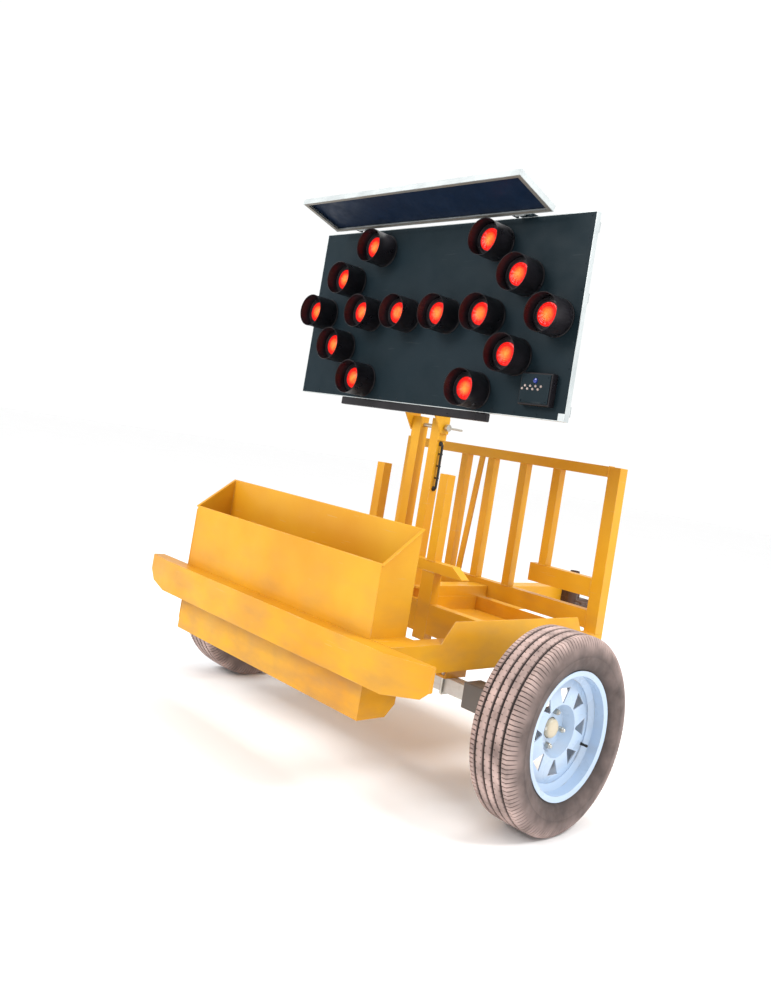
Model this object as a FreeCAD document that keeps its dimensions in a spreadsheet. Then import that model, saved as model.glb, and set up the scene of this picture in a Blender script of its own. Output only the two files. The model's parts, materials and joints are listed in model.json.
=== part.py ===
import FreeCAD, Part
import os
import re
import Sketcher

# Arrow board trailer, millimetres.  X is across the trailer, +Y is the towing
# direction and Z is up, with the ground at Z = 0 and X = 0 on the centre line.
doc = FreeCAD.newDocument("arrow_board_trailer")
sheet = doc.addObject("Spreadsheet::Sheet", "Params")
aliases = []
nodes = []
TURNS = {
    "+x": FreeCAD.Rotation(FreeCAD.Vector(0, 1, 0), 90),
    "-x": FreeCAD.Rotation(FreeCAD.Vector(0, 1, 0), -90),
    "+y": FreeCAD.Rotation(FreeCAD.Vector(1, 0, 0), -90),
    "-y": FreeCAD.Rotation(FreeCAD.Vector(1, 0, 0), 90),
    "+z": FreeCAD.Rotation(),
    "-z": FreeCAD.Rotation(FreeCAD.Vector(1, 0, 0), 180),
}
LENGTHS = ("Length", "Width", "Height")
VENT_COUNT = 8
NUT_COUNT = 4
FULL_TURN = 360


def size(name, value):
    """Store one driving size in the sheet under a word alias."""
    aliases.append(name)
    cell = "A%d" % len(aliases)
    sheet.set(cell, str(value))
    sheet.setAlias(cell, name)


def named(text):
    """Write a rule of plain aliases as an expression on the sheet."""
    return re.sub(r"[a-z][a-z_0-9]*", lambda word: "Params." + word.group(0), str(text))


def number(text):
    """The present value of a rule."""
    sheet.recompute()
    return float(sheet.evalExpression(named(text)))


def place(item, point, way="+z"):
    """Bind the position of an object, with its own Z turned to face one way."""
    item.Placement = FreeCAD.Placement(FreeCAD.Vector(), TURNS[way])
    for axis, text in zip("xyz", point):
        item.setExpression("Placement.Base." + axis, named(text))
    return item


def node(item, name):
    """Name a finished sub-part."""
    item.Label = name
    nodes.append(item)
    return item


def mirrored(name, source):
    """The other side's copy, across the centre plane."""
    item = doc.addObject("Part::Mirroring", name)
    item.Source = source
    item.Normal = FreeCAD.Vector(1, 0, 0)
    return item


def pair(name, item):
    """The same sub-part on the right and, mirrored, on the left."""
    node(item, name + "_right")
    node(mirrored(name + "_left_shape", item), name + "_left")


def box(name, low, high):
    """A block between two corners."""
    item = doc.addObject("Part::Box", name)
    for prop, start, end in zip(LENGTHS, low, high):
        item.setExpression(prop, named("(%s) - (%s)" % (end, start)))
    return place(item, low)


def rod(name, start, way, radius, length):
    """A round bar from a start point along one way."""
    item = doc.addObject("Part::Cylinder", name)
    item.setExpression("Radius", named(radius))
    item.setExpression("Height", named(length))
    return place(item, start, way)


def fuse(name, parts):
    item = doc.addObject("Part::MultiFuse", name)
    item.Shapes = parts
    item.Refine = True
    return item


def cut(name, base, tools):
    item = doc.addObject("Part::Cut", name)
    item.Base = base
    item.Tool = tools[0] if len(tools) == 1 else fuse(name + "_tools", tools)
    item.Refine = True
    return item


def common(name, first, second):
    item = doc.addObject("Part::MultiCommon", name)
    item.Shapes = [first, second]
    item.Refine = True
    return item


def group(name, parts):
    item = doc.addObject("Part::Compound", name)
    item.Links = parts
    return item


def copies(name, source, points):
    """Copies of one object, each moved by a point, as one group."""
    links = []
    for index, point in enumerate(points):
        link = doc.addObject("App::Link", "%s_%d" % (name, index + 1))
        link.LinkedObject = source
        link.LinkTransform = True
        place(link, point)
        links.append(link)
    return group(name, links)


def tube(name, low, high, wall, axis):
    """A rectangular tube along one axis, open at both ends."""
    start = list(low)
    end = list(high)
    for index, letter in enumerate("xyz"):
        step = "-(%s)" % wall if letter == axis else "(%s)" % wall
        start[index] = "(%s) + %s" % (low[index], step)
        end[index] = "(%s) - %s" % (high[index], step)
    outer = box(name + "_outside", low, high)
    return cut(name, outer, [box(name + "_inside", start, end)])


def pipe(name, start, way, radius, bore, length):
    """A round tube: a bar with its bore taken out."""
    outer = rod(name + "_outside", start, way, radius, length)
    return cut(name, outer, [rod(name + "_inside", start, way, bore, length)])


def outline(sketch, points):
    """A closed outline whose corners are all held by rules."""
    corners = [FreeCAD.Vector(number(across), number(along), 0) for across, along in points]
    count = len(points)
    for index in range(count):
        sketch.addGeometry(Part.LineSegment(corners[index], corners[(index + 1) % count]))
    for index in range(count):
        sketch.addConstraint(Sketcher.Constraint("Coincident", index, 2, (index + 1) % count, 1))
    for index, point in enumerate(points):
        for kind, text in zip(("DistanceX", "DistanceY"), point):
            limit = Sketcher.Constraint(kind, -1, 1, index, 1, number(text))
            sketch.setExpression("Constraints[%d]" % sketch.addConstraint(limit), named(text))


def sketched(name, role, points):
    """A new body with one outline sketched on an origin plane."""
    body = doc.addObject("PartDesign::Body", name)
    sketch = body.newObject("Sketcher::SketchObject", name + "_sketch")
    plane = [item for item in body.Origin.OriginFeatures if item.Role == role][0]
    sketch.AttachmentSupport = [(plane, "")]
    sketch.MapMode = "FlatFace"
    outline(sketch, points)
    return body, sketch


def prism(name, plane, points, start, end):
    """An outline in XY, XZ or YZ padded from one level to another along the third axis."""
    body, sketch = sketched(name, plane + "_Plane", points)
    pad = body.newObject("PartDesign::Pad", name + "_pad")
    pad.Profile = sketch
    pad.Reversed = plane == "XZ"
    pad.setExpression("Length", named("(%s) - (%s)" % (end, start)))
    sketch.Visibility = False
    axis = {"XY": "z", "XZ": "y", "YZ": "x"}[plane]
    body.setExpression("Placement.Base." + axis, named(start))
    return body


def turned(name, points, start, way):
    """An outline of radius and height turned about its own axis."""
    body, sketch = sketched(name, "XZ_Plane", points)
    turn = body.newObject("PartDesign::Revolution", name + "_turn")
    turn.Profile = sketch
    turn.ReferenceAxis = (sketch, ["V_Axis"])
    turn.Angle = 360
    sketch.Visibility = False
    return place(body, start, way)


# ---------------------------------------------------------------- frame sizes
size("axle_y", -378)
size("frame_half", 558)
size("frame_top", 503)
size("frame_bottom", 417)
size("plate", 4)
size("flange", 60)
size("beam_reach", 572)
size("beam_depth", 62)
size("beam_half", 734)
size("beam_straight", 600)
size("beam_sweep_left", 18)
size("beam_sweep_right", 48)
size("beam_bottom", 390)
size("beam_top", 501)
size("beam_rise", 18)
size("beam_corner_left", 36)
size("beam_corner_right", 24)
size("bin_left", -554)
size("bin_right", 466)
size("bin_back", -361)
size("bin_bottom", 264)
size("bin_front_top", 720)
size("bin_back_top", 833)
size("bin_wall", 3)
size("bin_lip", 10)
size("bin_corner", 36)
size("post_rear", 20)
size("post_depth", 40)
size("rack_rear", 533)
size("rack_end_post", 50)
size("spine_half", 35)
size("spine_bottom", 460)
size("spine_top", 560)
size("tube_wall", 3)

BEAM_FACE = "axle_y - beam_reach"
BIN_FRONT = "axle_y - beam_reach + beam_depth"
BIN_BACK = "axle_y + bin_back"
RACK_REAR = "axle_y + rack_rear"
RACK_FRONT = "axle_y + rack_rear + rack_end_post"
CROSS_REAR = "axle_y + post_rear"
CROSS_FRONT = "axle_y + post_rear + post_depth"

# ---------------------------------------------------------------- rack sizes
size("rack_top", 1118)
size("rack_rail", 40)
size("rack_bar", 36)
size("rack_low_rail", 516)
size("rack_low_top", 582)
RACK_END = "frame_half - rack_end_post"
RACK_DEPTH = "axle_y + rack_rear + rack_rail"
RAIL_BOTTOM = "rack_top - rack_rail"

# ---------------------------------------------------------------- wheel sizes
size("axle_z", 300.5)
size("wheel_centre", 784.5)
size("rim_half", 70)
size("rim_sheet", 3)
size("flange_radius", 195)
size("seat_radius", 178)
size("well_radius", 158)
size("disc_out", 780)
size("disc_sheet", 4)
size("hub_radius", 32)
size("spindle_radius", 15)
size("spindle_end", 778)
size("running_gap", 0.05)
AXLE = ("0", "axle_y", "axle_z")


def rear_beam():
    """Folded lamp beam: a web with a top flange, its ends swept forward and up."""
    front = BEAM_FACE
    back = BIN_FRONT
    plan = [
        ("-beam_half", front + " + beam_sweep_left"),
        ("-beam_straight", front),
        ("beam_straight", front),
        ("beam_half", front + " + beam_sweep_right"),
        ("beam_half", back),
        ("-beam_half", back),
    ]
    hollow = [
        ("-beam_half + plate", front + " + beam_sweep_left + plate"),
        ("-beam_straight", front + " + plate"),
        ("beam_straight", front + " + plate"),
        ("beam_half - plate", front + " + beam_sweep_right + plate"),
        ("beam_half - plate", back + " + plate"),
        ("-beam_half + plate", back + " + plate"),
    ]
    face = [
        ("-beam_half", "beam_top"),
        ("-beam_half", "beam_bottom + beam_rise + beam_corner_left"),
        ("-beam_half + beam_corner_left", "beam_bottom + beam_rise"),
        ("-beam_straight", "beam_bottom"),
        ("beam_straight", "beam_bottom"),
        ("beam_half - beam_corner_right", "beam_bottom + beam_rise"),
        ("beam_half", "beam_bottom + beam_rise + beam_corner_right"),
        ("beam_half", "beam_top"),
    ]
    solid = prism("beam_plan", "XY", plan, "beam_bottom", "beam_top")
    inside = prism("beam_hollow", "XY", hollow, "beam_bottom - plate", "beam_top - plate")
    folded = cut("beam_folded", solid, [inside])
    shape = prism("beam_front_view", "XZ", face, front + " - plate", back + " + plate")
    node(common("rear_beam_shape", folded, shape), "rear_beam")


def bin_box():
    """Deep open-topped bin with a sloping rim and a lip along each end."""
    front = BIN_FRONT
    back = BIN_BACK
    profile = [
        (front, "bin_bottom"),
        (back + " - bin_corner", "bin_bottom"),
        (back, "bin_bottom + bin_corner"),
        (back, "bin_back_top"),
        (front, "bin_front_top"),
    ]
    inner = [
        (front + " + bin_wall", "bin_bottom + bin_wall"),
        (back + " - bin_corner - bin_wall / 2", "bin_bottom + bin_wall"),
        (back + " - bin_wall", "bin_bottom + bin_corner + bin_wall / 2"),
        (back + " - bin_wall", "bin_back_top + bin_corner"),
        (front + " + bin_wall", "bin_back_top + bin_corner"),
    ]
    lip = [
        (front, "bin_front_top"),
        (front, "bin_front_top - plate"),
        (back, "bin_back_top - plate"),
        (back, "bin_back_top"),
    ]
    outside = prism("bin_outside", "YZ", profile, "bin_left", "bin_right")
    inside = prism("bin_inside", "YZ", inner, "bin_left + bin_wall", "bin_right - bin_wall")
    shell = cut("bin_shell", outside, [inside])
    left = prism("bin_lip_left", "YZ", lip, "bin_left - bin_lip", "bin_left")
    right = prism("bin_lip_right", "YZ", lip, "bin_right", "bin_right + bin_lip")
    node(fuse("bin_shape", [shell, left, right]), "bin")
    rail_low = ("-frame_half + plate", back, "frame_bottom + plate")
    rail_high = ("frame_half - plate", back + " + post_depth", "frame_bottom + plate + post_depth")
    return tube("bin_rail_tube", rail_low, rail_high, "tube_wall", "x")


def side_members():
    """Channel members with an inclined guard plate on their outer top edge."""
    size("guard_start", -301)
    size("guard_step", 84)
    size("guard_end", 450)
    size("guard_in", 530)
    size("guard_top", 562)
    channel = [
        ("frame_half", "frame_top"),
        ("frame_half - flange", "frame_top"),
        ("frame_half - flange", "frame_top - plate"),
        ("frame_half - plate", "frame_top - plate"),
        ("frame_half - plate", "frame_bottom + plate"),
        ("frame_half - flange", "frame_bottom + plate"),
        ("frame_half - flange", "frame_bottom"),
        ("frame_half", "frame_bottom"),
    ]
    guard = [
        ("frame_half", "frame_top"),
        ("guard_in", "guard_top"),
        ("guard_in - plate", "guard_top"),
        ("frame_half - plate", "frame_top"),
    ]
    step = [
        ("axle_y + guard_start", "frame_top"),
        ("axle_y + guard_start + guard_step", "guard_top"),
        ("axle_y + guard_start + guard_step", "guard_top + plate"),
        ("axle_y + guard_start - plate", "guard_top + plate"),
        ("axle_y + guard_start - plate", "frame_top"),
    ]
    sloped = prism("guard_sloped", "XZ", guard, "axle_y + guard_start", "axle_y + guard_end")
    wedge = prism("guard_wedge", "YZ", step, "guard_in - flange", "frame_half + flange")
    guard_plate = cut("guard_plate", sloped, [wedge])
    full = prism("channel_full", "XZ", channel, BIN_FRONT, RACK_FRONT)
    right = fuse("side_member_right_shape", [full, guard_plate])
    short = prism("channel_short", "XZ", channel, BIN_BACK, RACK_FRONT)
    web_low = ("frame_half - plate", BIN_FRONT, "frame_bottom")
    web_high = ("frame_half", BIN_BACK, "frame_top")
    web = box("web_beside_bin", web_low, web_high)
    left = mirrored("side_member_left_shape", fuse("side_member_plain", [short, guard_plate, web]))
    node(right, "side_member_right")
    node(left, "side_member_left")
    deck_low = ("bin_right", BIN_FRONT, "frame_top - plate")
    deck_high = ("frame_half - flange", BIN_BACK, "frame_top")
    node(box("deck_plate_box", deck_low, deck_high), "deck_plate")


def cross_members(bin_rail):
    """Axle cross member broken by the portal posts, with the front and bin cross tubes."""
    size("cross_bottom", 425)
    size("cross_top", 530)
    size("post_x", 167)
    size("post_width", 60)
    size("front_tube", 60)
    low = ("-frame_half + flange", CROSS_REAR, "cross_bottom")
    high = ("frame_half - flange", CROSS_FRONT, "cross_top")
    whole = tube("cross_whole", low, high, "tube_wall", "x")
    spaces = []
    for side in ("-", "+"):
        centre = "%s post_x" % side
        space_low = (centre + " - post_width / 2", CROSS_REAR, "cross_bottom")
        space_high = (centre + " + post_width / 2", CROSS_FRONT, "cross_top")
        spaces.append(box("post_space", space_low, space_high))
    node(cut("axle_cross_shape", whole, spaces), "axle_cross_member")
    front_low = ("-frame_half + plate", RACK_REAR + " - front_tube", "frame_bottom + plate")
    front_high = ("frame_half - plate", RACK_REAR, "spine_bottom")
    front = tube("front_cross_tube", front_low, front_high, "tube_wall", "x")
    node(group("cross_tube_pair", [bin_rail, front]), "cross_tubes")


def trays():
    """Folded trays on each side of the spine."""
    size("tray_bottom", 464)
    size("tray_top", 520)
    size("tray_end", 472)
    low = ("spine_half", CROSS_FRONT, "tray_bottom")
    high = ("frame_half - flange", "axle_y + tray_end", "tray_top")
    inner_low = ("spine_half + tube_wall", CROSS_FRONT + " + tube_wall", "tray_bottom + tube_wall")
    inner_high = ("frame_half - flange - tube_wall", "axle_y + tray_end - tube_wall", "tray_top + plate")
    right = cut("tray_right_shape", box("tray_block", low, high), [box("tray_hollow", inner_low, inner_high)])
    node(group("tray_pair", [right, mirrored("tray_left", right)]), "trays")


def spine():
    """Central drawbar tube."""
    size("spine_end", 1130)
    size("spine_wall", 5)
    low = ("-spine_half", CROSS_FRONT, "spine_bottom")
    high = ("spine_half", "axle_y + spine_end", "spine_top")
    node(tube("drawbar_tube", low, high, "spine_wall", "y"), "drawbar")


def portal():
    """Two posts with a chamfered folded cross-beam, and the two sign sockets on it."""
    size("portal_bottom", 400)
    size("portal_shelf", 642)
    size("portal_top", 680)
    size("portal_half", 325)
    size("portal_chamfer", 50)
    size("portal_edge", 4)
    size("socket_top", 993)
    size("socket_width", 40)
    posts = []
    sockets = []
    for side in ("-", "+"):
        centre = "%s post_x" % side
        low = (centre + " - post_width / 2", CROSS_REAR, "portal_bottom")
        high = (centre + " + post_width / 2", CROSS_FRONT, "portal_shelf")
        posts.append(tube("portal_post", low, high, "tube_wall", "z"))
        socket_low = (centre + " - socket_width / 2", CROSS_REAR, "portal_top")
        socket_high = (centre + " + socket_width / 2", CROSS_FRONT, "socket_top")
        sockets.append(tube("sign_socket", socket_low, socket_high, "tube_wall", "z"))
    outer = [
        ("-portal_half", "portal_shelf"),
        ("portal_half", "portal_shelf"),
        ("portal_half", "portal_shelf + portal_edge"),
        ("portal_half - portal_chamfer", "portal_top"),
        ("-portal_half + portal_chamfer", "portal_top"),
        ("-portal_half", "portal_shelf + portal_edge"),
    ]
    beam = prism("portal_beam", "XZ", outer, CROSS_REAR, CROSS_FRONT)
    inner_low = ("-portal_half + portal_chamfer", CROSS_REAR + " + tube_wall", "portal_shelf + tube_wall")
    inner_high = ("portal_half - portal_chamfer", CROSS_FRONT + " - tube_wall", "portal_top - tube_wall")
    hollow = cut("portal_beam_hollow", beam, [box("portal_inside", inner_low, inner_high)])
    node(fuse("portal_shape", posts + [hollow]), "portal_frame")
    node(group("socket_pair", sockets), "sign_sockets")


def mast():
    """Twin mast posts on a foot plate, with lugs for the fold pivot."""
    size("mast_x", 48)
    size("mast_width", 40)
    size("mast_y", 80)
    size("mast_top", 1190)
    size("foot_half", 84)
    size("foot_plate", 8)
    size("pivot_z", 1160)
    size("pivot_radius", 8)
    size("lug_plate", 6)
    size("lug_bottom", 1110)
    posts = []
    lugs = []
    start = ("-foot_half", "axle_y + mast_y", "pivot_z")
    hole = rod("mast_pivot_hole", start, "+x", "pivot_radius", "2 * foot_half")
    for side in ("-", "+"):
        centre = "%s mast_x" % side
        low = (centre + " - mast_width / 2", CROSS_FRONT, "spine_top + foot_plate")
        high = (centre + " + mast_width / 2", CROSS_FRONT + " + mast_width", "mast_top")
        posts.append(cut("mast_post", tube("mast_tube", low, high, "tube_wall", "z"), [hole]))
    low = ("-foot_half", CROSS_FRONT, "spine_top")
    high = ("foot_half", CROSS_FRONT + " + mast_width * 2", "spine_top + foot_plate")
    foot = box("mast_foot_plate", low, high)
    for side, face in (("-", "-mast_x - mast_width / 2 - lug_plate"), ("+", "mast_x + mast_width / 2")):
        lug_low = (face, CROSS_FRONT, "lug_bottom")
        lug_high = ("%s + lug_plate" % face, CROSS_FRONT + " + mast_width", "mast_top")
        lugs.append(cut("mast_lug", box("lug_block", lug_low, lug_high), [hole]))
    node(fuse("mast_shape", posts + lugs + [foot]), "mast")


def rack_frame():
    """End posts and the upper and lower rails of the cradle for the folded board."""
    posts = []
    for side, name in (("-", "rack_post_left"), ("+", "rack_post_right")):
        edges = sorted(["%s(frame_half)" % side, "%s(%s)" % (side, RACK_END)], key=number)
        low = (edges[0], RACK_REAR, "frame_top")
        high = (edges[1], RACK_FRONT, "rack_top")
        posts.append(tube(name, low, high, "tube_wall", "z"))
    node(group("rack_post_pair", posts), "rack_posts")
    low = ("-(%s)" % RACK_END, RACK_REAR, RAIL_BOTTOM)
    high = (RACK_END, RACK_DEPTH, "rack_top")
    rails = [tube("rack_top_tube", low, high, "tube_wall", "x")]
    for name, start, end in (("left", "-(%s)" % RACK_END, "-spine_half"), ("right", "spine_half", RACK_END)):
        low = (start, RACK_REAR, "rack_low_rail")
        high = (end, RACK_DEPTH, "rack_low_top")
        rails.append(tube("rack_low_" + name, low, high, "tube_wall", "x"))
    bridge_low = ("-spine_half", RACK_REAR, "spine_top")
    bridge_high = ("spine_half", RACK_DEPTH, "rack_low_top")
    rails.append(box("rack_low_bridge", bridge_low, bridge_high))
    node(fuse("rack_rail_shape", rails), "rack_rails")


def rack_bars():
    """Upright bars between the rails, a slanted brace, and a short rail low on the right."""
    size("bar_left_x", -200)
    size("bar_middle_x", -52)
    size("bar_right_x", 117)
    size("bar_end_x", 280)
    size("brace_top", -104)
    size("brace_foot", -139)
    size("brace_half", 13)
    size("brace_plate", 9)
    size("stub_left", 224)
    size("stub_bottom", 630)
    size("stub_top", 700)
    uprights = []
    for name in ("bar_left", "bar_middle", "bar_right", "bar_end"):
        foot = "stub_top" if name == "bar_end" else "rack_low_top"
        low = (name + "_x - rack_bar / 2", RACK_REAR, foot)
        high = (name + "_x + rack_bar / 2", RACK_REAR + " + rack_bar", RAIL_BOTTOM)
        uprights.append(tube(name, low, high, "tube_wall", "z"))
    slanted = [
        ("brace_foot - brace_half", "rack_low_top"),
        ("brace_foot + brace_half", "rack_low_top"),
        ("brace_top + brace_half", RAIL_BOTTOM),
        ("brace_top - brace_half", RAIL_BOTTOM),
    ]
    uprights.append(prism("rack_brace", "XZ", slanted, RACK_REAR, RACK_REAR + " + brace_plate"))
    node(group("rack_bar_set", uprights), "rack_bars")
    low = ("stub_left", RACK_REAR, "stub_bottom")
    high = (RACK_END, RACK_DEPTH, "stub_top")
    node(tube("rack_stub_tube", low, high, "tube_wall", "x"), "rack_stub_rail")


def axle():
    """Square axle tube with suspension blocks, stub spindles, saddles and U-bolts."""
    size("axle_width", 50)
    size("axle_wall", 5)
    size("block_in", 458)
    size("block_out", 570)
    size("block_half", 42)
    size("block_plate", 6)
    size("plate_half", 56)
    size("saddle_x", 355)
    size("saddle_half", 22)
    size("saddle_plate", 8)
    size("bolt_radius", 5)
    half = "axle_width / 2"
    low = ("-block_in", "axle_y - " + half, "axle_z - " + half)
    high = ("block_in", "axle_y + " + half, "axle_z + " + half)
    node(tube("axle_square", low, high, "axle_wall", "x"), "axle_tube")
    low = ("block_in", "axle_y - block_half", "axle_z - block_half")
    high = ("block_out", "axle_y + block_half", "axle_z + block_half")
    block = box("block_body", low, high)
    node(group("block_pair", [block, mirrored("block_left", block)]), "axle_blocks")
    low = ("block_out", "axle_y - plate_half", "axle_z - plate_half")
    high = ("block_out + block_plate", "axle_y + plate_half", "axle_z + plate_half")
    start = ("block_out", "axle_y", "axle_z")
    shaft = rod("spindle_shaft", start, "+x", "spindle_radius", "spindle_end - block_out")
    spindle = fuse("spindle_right", [box("backing_plate", low, high), shaft])
    node(group("spindle_pair", [spindle, mirrored("spindle_left", spindle)]), "spindles")
    seat_low = ("saddle_x - saddle_half", "axle_y - 2 * saddle_half", "axle_z + " + half)
    seat_high = ("saddle_x + saddle_half", CROSS_FRONT, "axle_z + %s + saddle_plate" % half)
    web = [
        ("axle_y - 2 * saddle_half", "axle_z + " + half),
        ("axle_y + post_rear + post_depth", "axle_z + " + half),
        ("axle_y + post_rear + post_depth", "cross_bottom"),
        ("axle_y + post_rear", "cross_bottom"),
        ("axle_y - 2 * saddle_half", "axle_z + %s + 2 * saddle_plate" % half),
    ]
    seat = box("saddle_seat", seat_low, seat_high)
    fins = []
    for edge in ("saddle_x - saddle_half", "saddle_x + saddle_half - plate"):
        fins.append(prism("saddle_fin", "YZ", web, edge, edge + " + plate"))
    saddle = fuse("saddle_shape", [seat] + fins)
    legs = []
    reach = "(axle_width / 2 + bolt_radius)"
    for sign in ("-", "+"):
        foot = ("saddle_x", "axle_y %s %s" % (sign, reach), "axle_z - axle_width / 2 - bolt_radius")
        legs.append(rod("bolt_leg", foot, "+z", "bolt_radius", "axle_width + 4 * saddle_plate"))
    start = ("saddle_x", "axle_y - " + reach, "axle_z - axle_width / 2 - bolt_radius")
    bow = rod("bolt_bow", start, "+y", "bolt_radius", "2 * " + reach)
    bolt = fuse("bolt_shape", legs + [bow])
    drilled = cut("saddle_drilled", saddle, legs)
    node(group("saddle_pair", [drilled, mirrored("saddle_left", drilled)]), "axle_saddles")
    return [bolt, mirrored("bolt_left", bolt)]


def tyre():
    """Hollow rubber section seated between the rim flanges."""
    size("tyre_half", 87.5)
    size("tyre_radius", 300.5)
    size("tread_flat", 58)
    size("tread_edge", 72)
    size("tread_drop", 3)
    size("tread_gauge", 12)
    size("shoulder_radius", 268)
    size("shoulder_in", 5)
    size("wall_radius", 239)
    size("wall_gauge", 9)
    size("bead_toe", 7)
    size("bead_heel", 4.5)
    size("bead_step", 1)
    size("bead_width", 15)
    outside = [
        ("seat_radius + rim_sheet", "rim_half - bead_toe"),
        ("flange_radius + bead_step", "rim_half - bead_heel"),
        ("wall_radius", "tyre_half"),
        ("shoulder_radius", "tyre_half - shoulder_in"),
        ("tyre_radius - tread_drop", "tread_edge"),
        ("tyre_radius", "tread_flat"),
    ]
    inside = [
        ("tyre_radius - tread_gauge", "tread_flat"),
        ("shoulder_radius", "tyre_half - shoulder_in - wall_gauge"),
        ("wall_radius", "tyre_half - wall_gauge"),
        ("flange_radius + wall_gauge", "rim_half - bead_width"),
        ("seat_radius + rim_sheet", "rim_half - bead_toe - bead_width"),
    ]
    points = [(radius, "wheel_centre - (%s)" % out) for radius, out in outside]
    points += [(radius, "wheel_centre + (%s)" % out) for radius, out in reversed(outside)]
    points += [(radius, "wheel_centre + (%s)" % out) for radius, out in reversed(inside)]
    points += [(radius, "wheel_centre - (%s)" % out) for radius, out in inside]
    pair("tyre", turned("tyre_shape", points, AXLE, "+x"))


def rim():
    """Well-base rim with a dished disc that has eight three-cornered vents."""
    size("well_half", 20)
    size("well_slope", 10)
    size("dish_foot", 64)
    size("dish_shoulder", 80)
    size("dish_rise", 32)
    size("dish_fall", 8)
    size("weld_depth", 1)
    size("vent_in", 86)
    size("vent_out", 131)
    size("vent_half", 26)
    size("vent_tip", 3)
    outside = [
        ("flange_radius", "rim_half"),
        ("flange_radius", "rim_half - rim_sheet"),
        ("seat_radius + rim_sheet", "rim_half - 2 * rim_sheet"),
        ("seat_radius + rim_sheet", "well_half + well_slope"),
        ("well_radius + rim_sheet", "well_half"),
    ]
    inside = [
        ("well_radius", "well_half + rim_sheet"),
        ("seat_radius", "well_half + well_slope + rim_sheet"),
        ("seat_radius", "rim_half - rim_sheet"),
    ]
    points = [(radius, "wheel_centre - (%s)" % out) for radius, out in outside]
    points += [(radius, "wheel_centre + (%s)" % out) for radius, out in reversed(outside)]
    points += [(radius, "wheel_centre + (%s)" % out) for radius, out in reversed(inside)]
    points += [(radius, "wheel_centre - (%s)" % out) for radius, out in inside]
    barrel = turned("rim_barrel", points, AXLE, "+x")
    front = [
        ("hub_radius", "disc_out"),
        ("dish_foot", "disc_out"),
        ("dish_shoulder", "disc_out + dish_rise"),
        ("vent_out + disc_sheet", "disc_out + dish_rise"),
        ("well_radius + weld_depth", "disc_out + dish_rise - dish_fall"),
    ]
    rear = [
        ("well_radius + weld_depth", "disc_out + dish_rise - dish_fall - disc_sheet"),
        ("vent_out + disc_sheet", "disc_out + dish_rise - disc_sheet"),
        ("dish_shoulder + disc_sheet / 2", "disc_out + dish_rise - disc_sheet"),
        ("dish_foot + disc_sheet / 2", "disc_out - disc_sheet"),
        ("hub_radius", "disc_out - disc_sheet"),
    ]
    disc = turned("rim_dish", front + rear, AXLE, "+x")
    vent = [
        ("vent_in", "-vent_tip"),
        ("vent_out", "-vent_half"),
        ("vent_out", "vent_half"),
        ("vent_in", "vent_tip"),
    ]
    vents = []
    for index in range(VENT_COUNT):
        tool = prism("vent_tool", "XY", vent, "0", "dish_rise + 2 * disc_sheet")
        turn = FreeCAD.Rotation(FreeCAD.Vector(0, 0, 1), index * FULL_TURN / VENT_COUNT)
        tool.Placement = FreeCAD.Placement(FreeCAD.Vector(), TURNS["+x"].multiply(turn))
        for axis, text in zip("xyz", ("disc_out", "axle_y", "axle_z")):
            tool.setExpression("Placement.Base." + axis, named(text))
        vents.append(tool)
    pair("rim", fuse("rim_shape", [barrel, cut("rim_vented", disc, vents)]))


def hub():
    """Hub with a brake drum, turning on two bearings on the spindle."""
    size("hub_flange", 62)
    size("hub_flange_plate", 10)
    size("hub_start", 640)
    size("hub_relief", 4)
    size("bearing_radius", 26)
    size("bearing_width", 16)
    size("drum_radius", 102)
    size("drum_width", 50)
    size("drum_cone", 8)
    face = "disc_out - disc_sheet"
    profile = [
        ("bearing_radius", "hub_start"),
        ("drum_radius", "hub_start"),
        ("drum_radius", "hub_start + drum_width"),
        ("hub_radius", "hub_start + drum_width + drum_cone"),
        ("hub_radius", face + " - hub_flange_plate"),
        ("hub_flange", face + " - hub_flange_plate"),
        ("hub_flange", face),
        ("bearing_radius", face),
        ("bearing_radius", face + " - bearing_width"),
        ("spindle_radius + hub_relief", face + " - bearing_width"),
        ("spindle_radius + hub_relief", "hub_start + bearing_width"),
        ("bearing_radius", "hub_start + bearing_width"),
    ]
    pair("hub", turned("hub_shape", profile, AXLE, "+x"))
    rings = []
    for start in ("hub_start", face + " - bearing_width"):
        rings.append(pipe("bearing", (start, "axle_y", "axle_z"), "+x", "bearing_radius",
                          "spindle_radius + running_gap", "bearing_width"))
    pair("bearings", group("bearing_pair", rings))


def wheel_nuts():
    """Four hexagon nuts on the disc."""
    size("nut_circle", 51)
    size("nut_radius", 9.5)
    size("nut_height", 15)
    size("nut_turn", 80)
    nuts = []
    for index in range(NUT_COUNT):
        nut = doc.addObject("Part::Prism", "nut")
        nut.Polygon = 6
        nut.setExpression("Circumradius", named("nut_radius"))
        nut.setExpression("Height", named("nut_height"))
        nut.Placement = FreeCAD.Placement(FreeCAD.Vector(), TURNS["+x"])
        angle = "(Params.nut_turn + %d) * 1deg" % (index * FULL_TURN / NUT_COUNT)
        nut.setExpression("Placement.Base.x", named("disc_out"))
        nut.setExpression("Placement.Base.y", "Params.axle_y + Params.nut_circle * cos(%s)" % angle)
        nut.setExpression("Placement.Base.z", "Params.axle_z + Params.nut_circle * sin(%s)" % angle)
        nuts.append(nut)
    pair("wheel_nuts", group("nut_ring", nuts))


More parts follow.
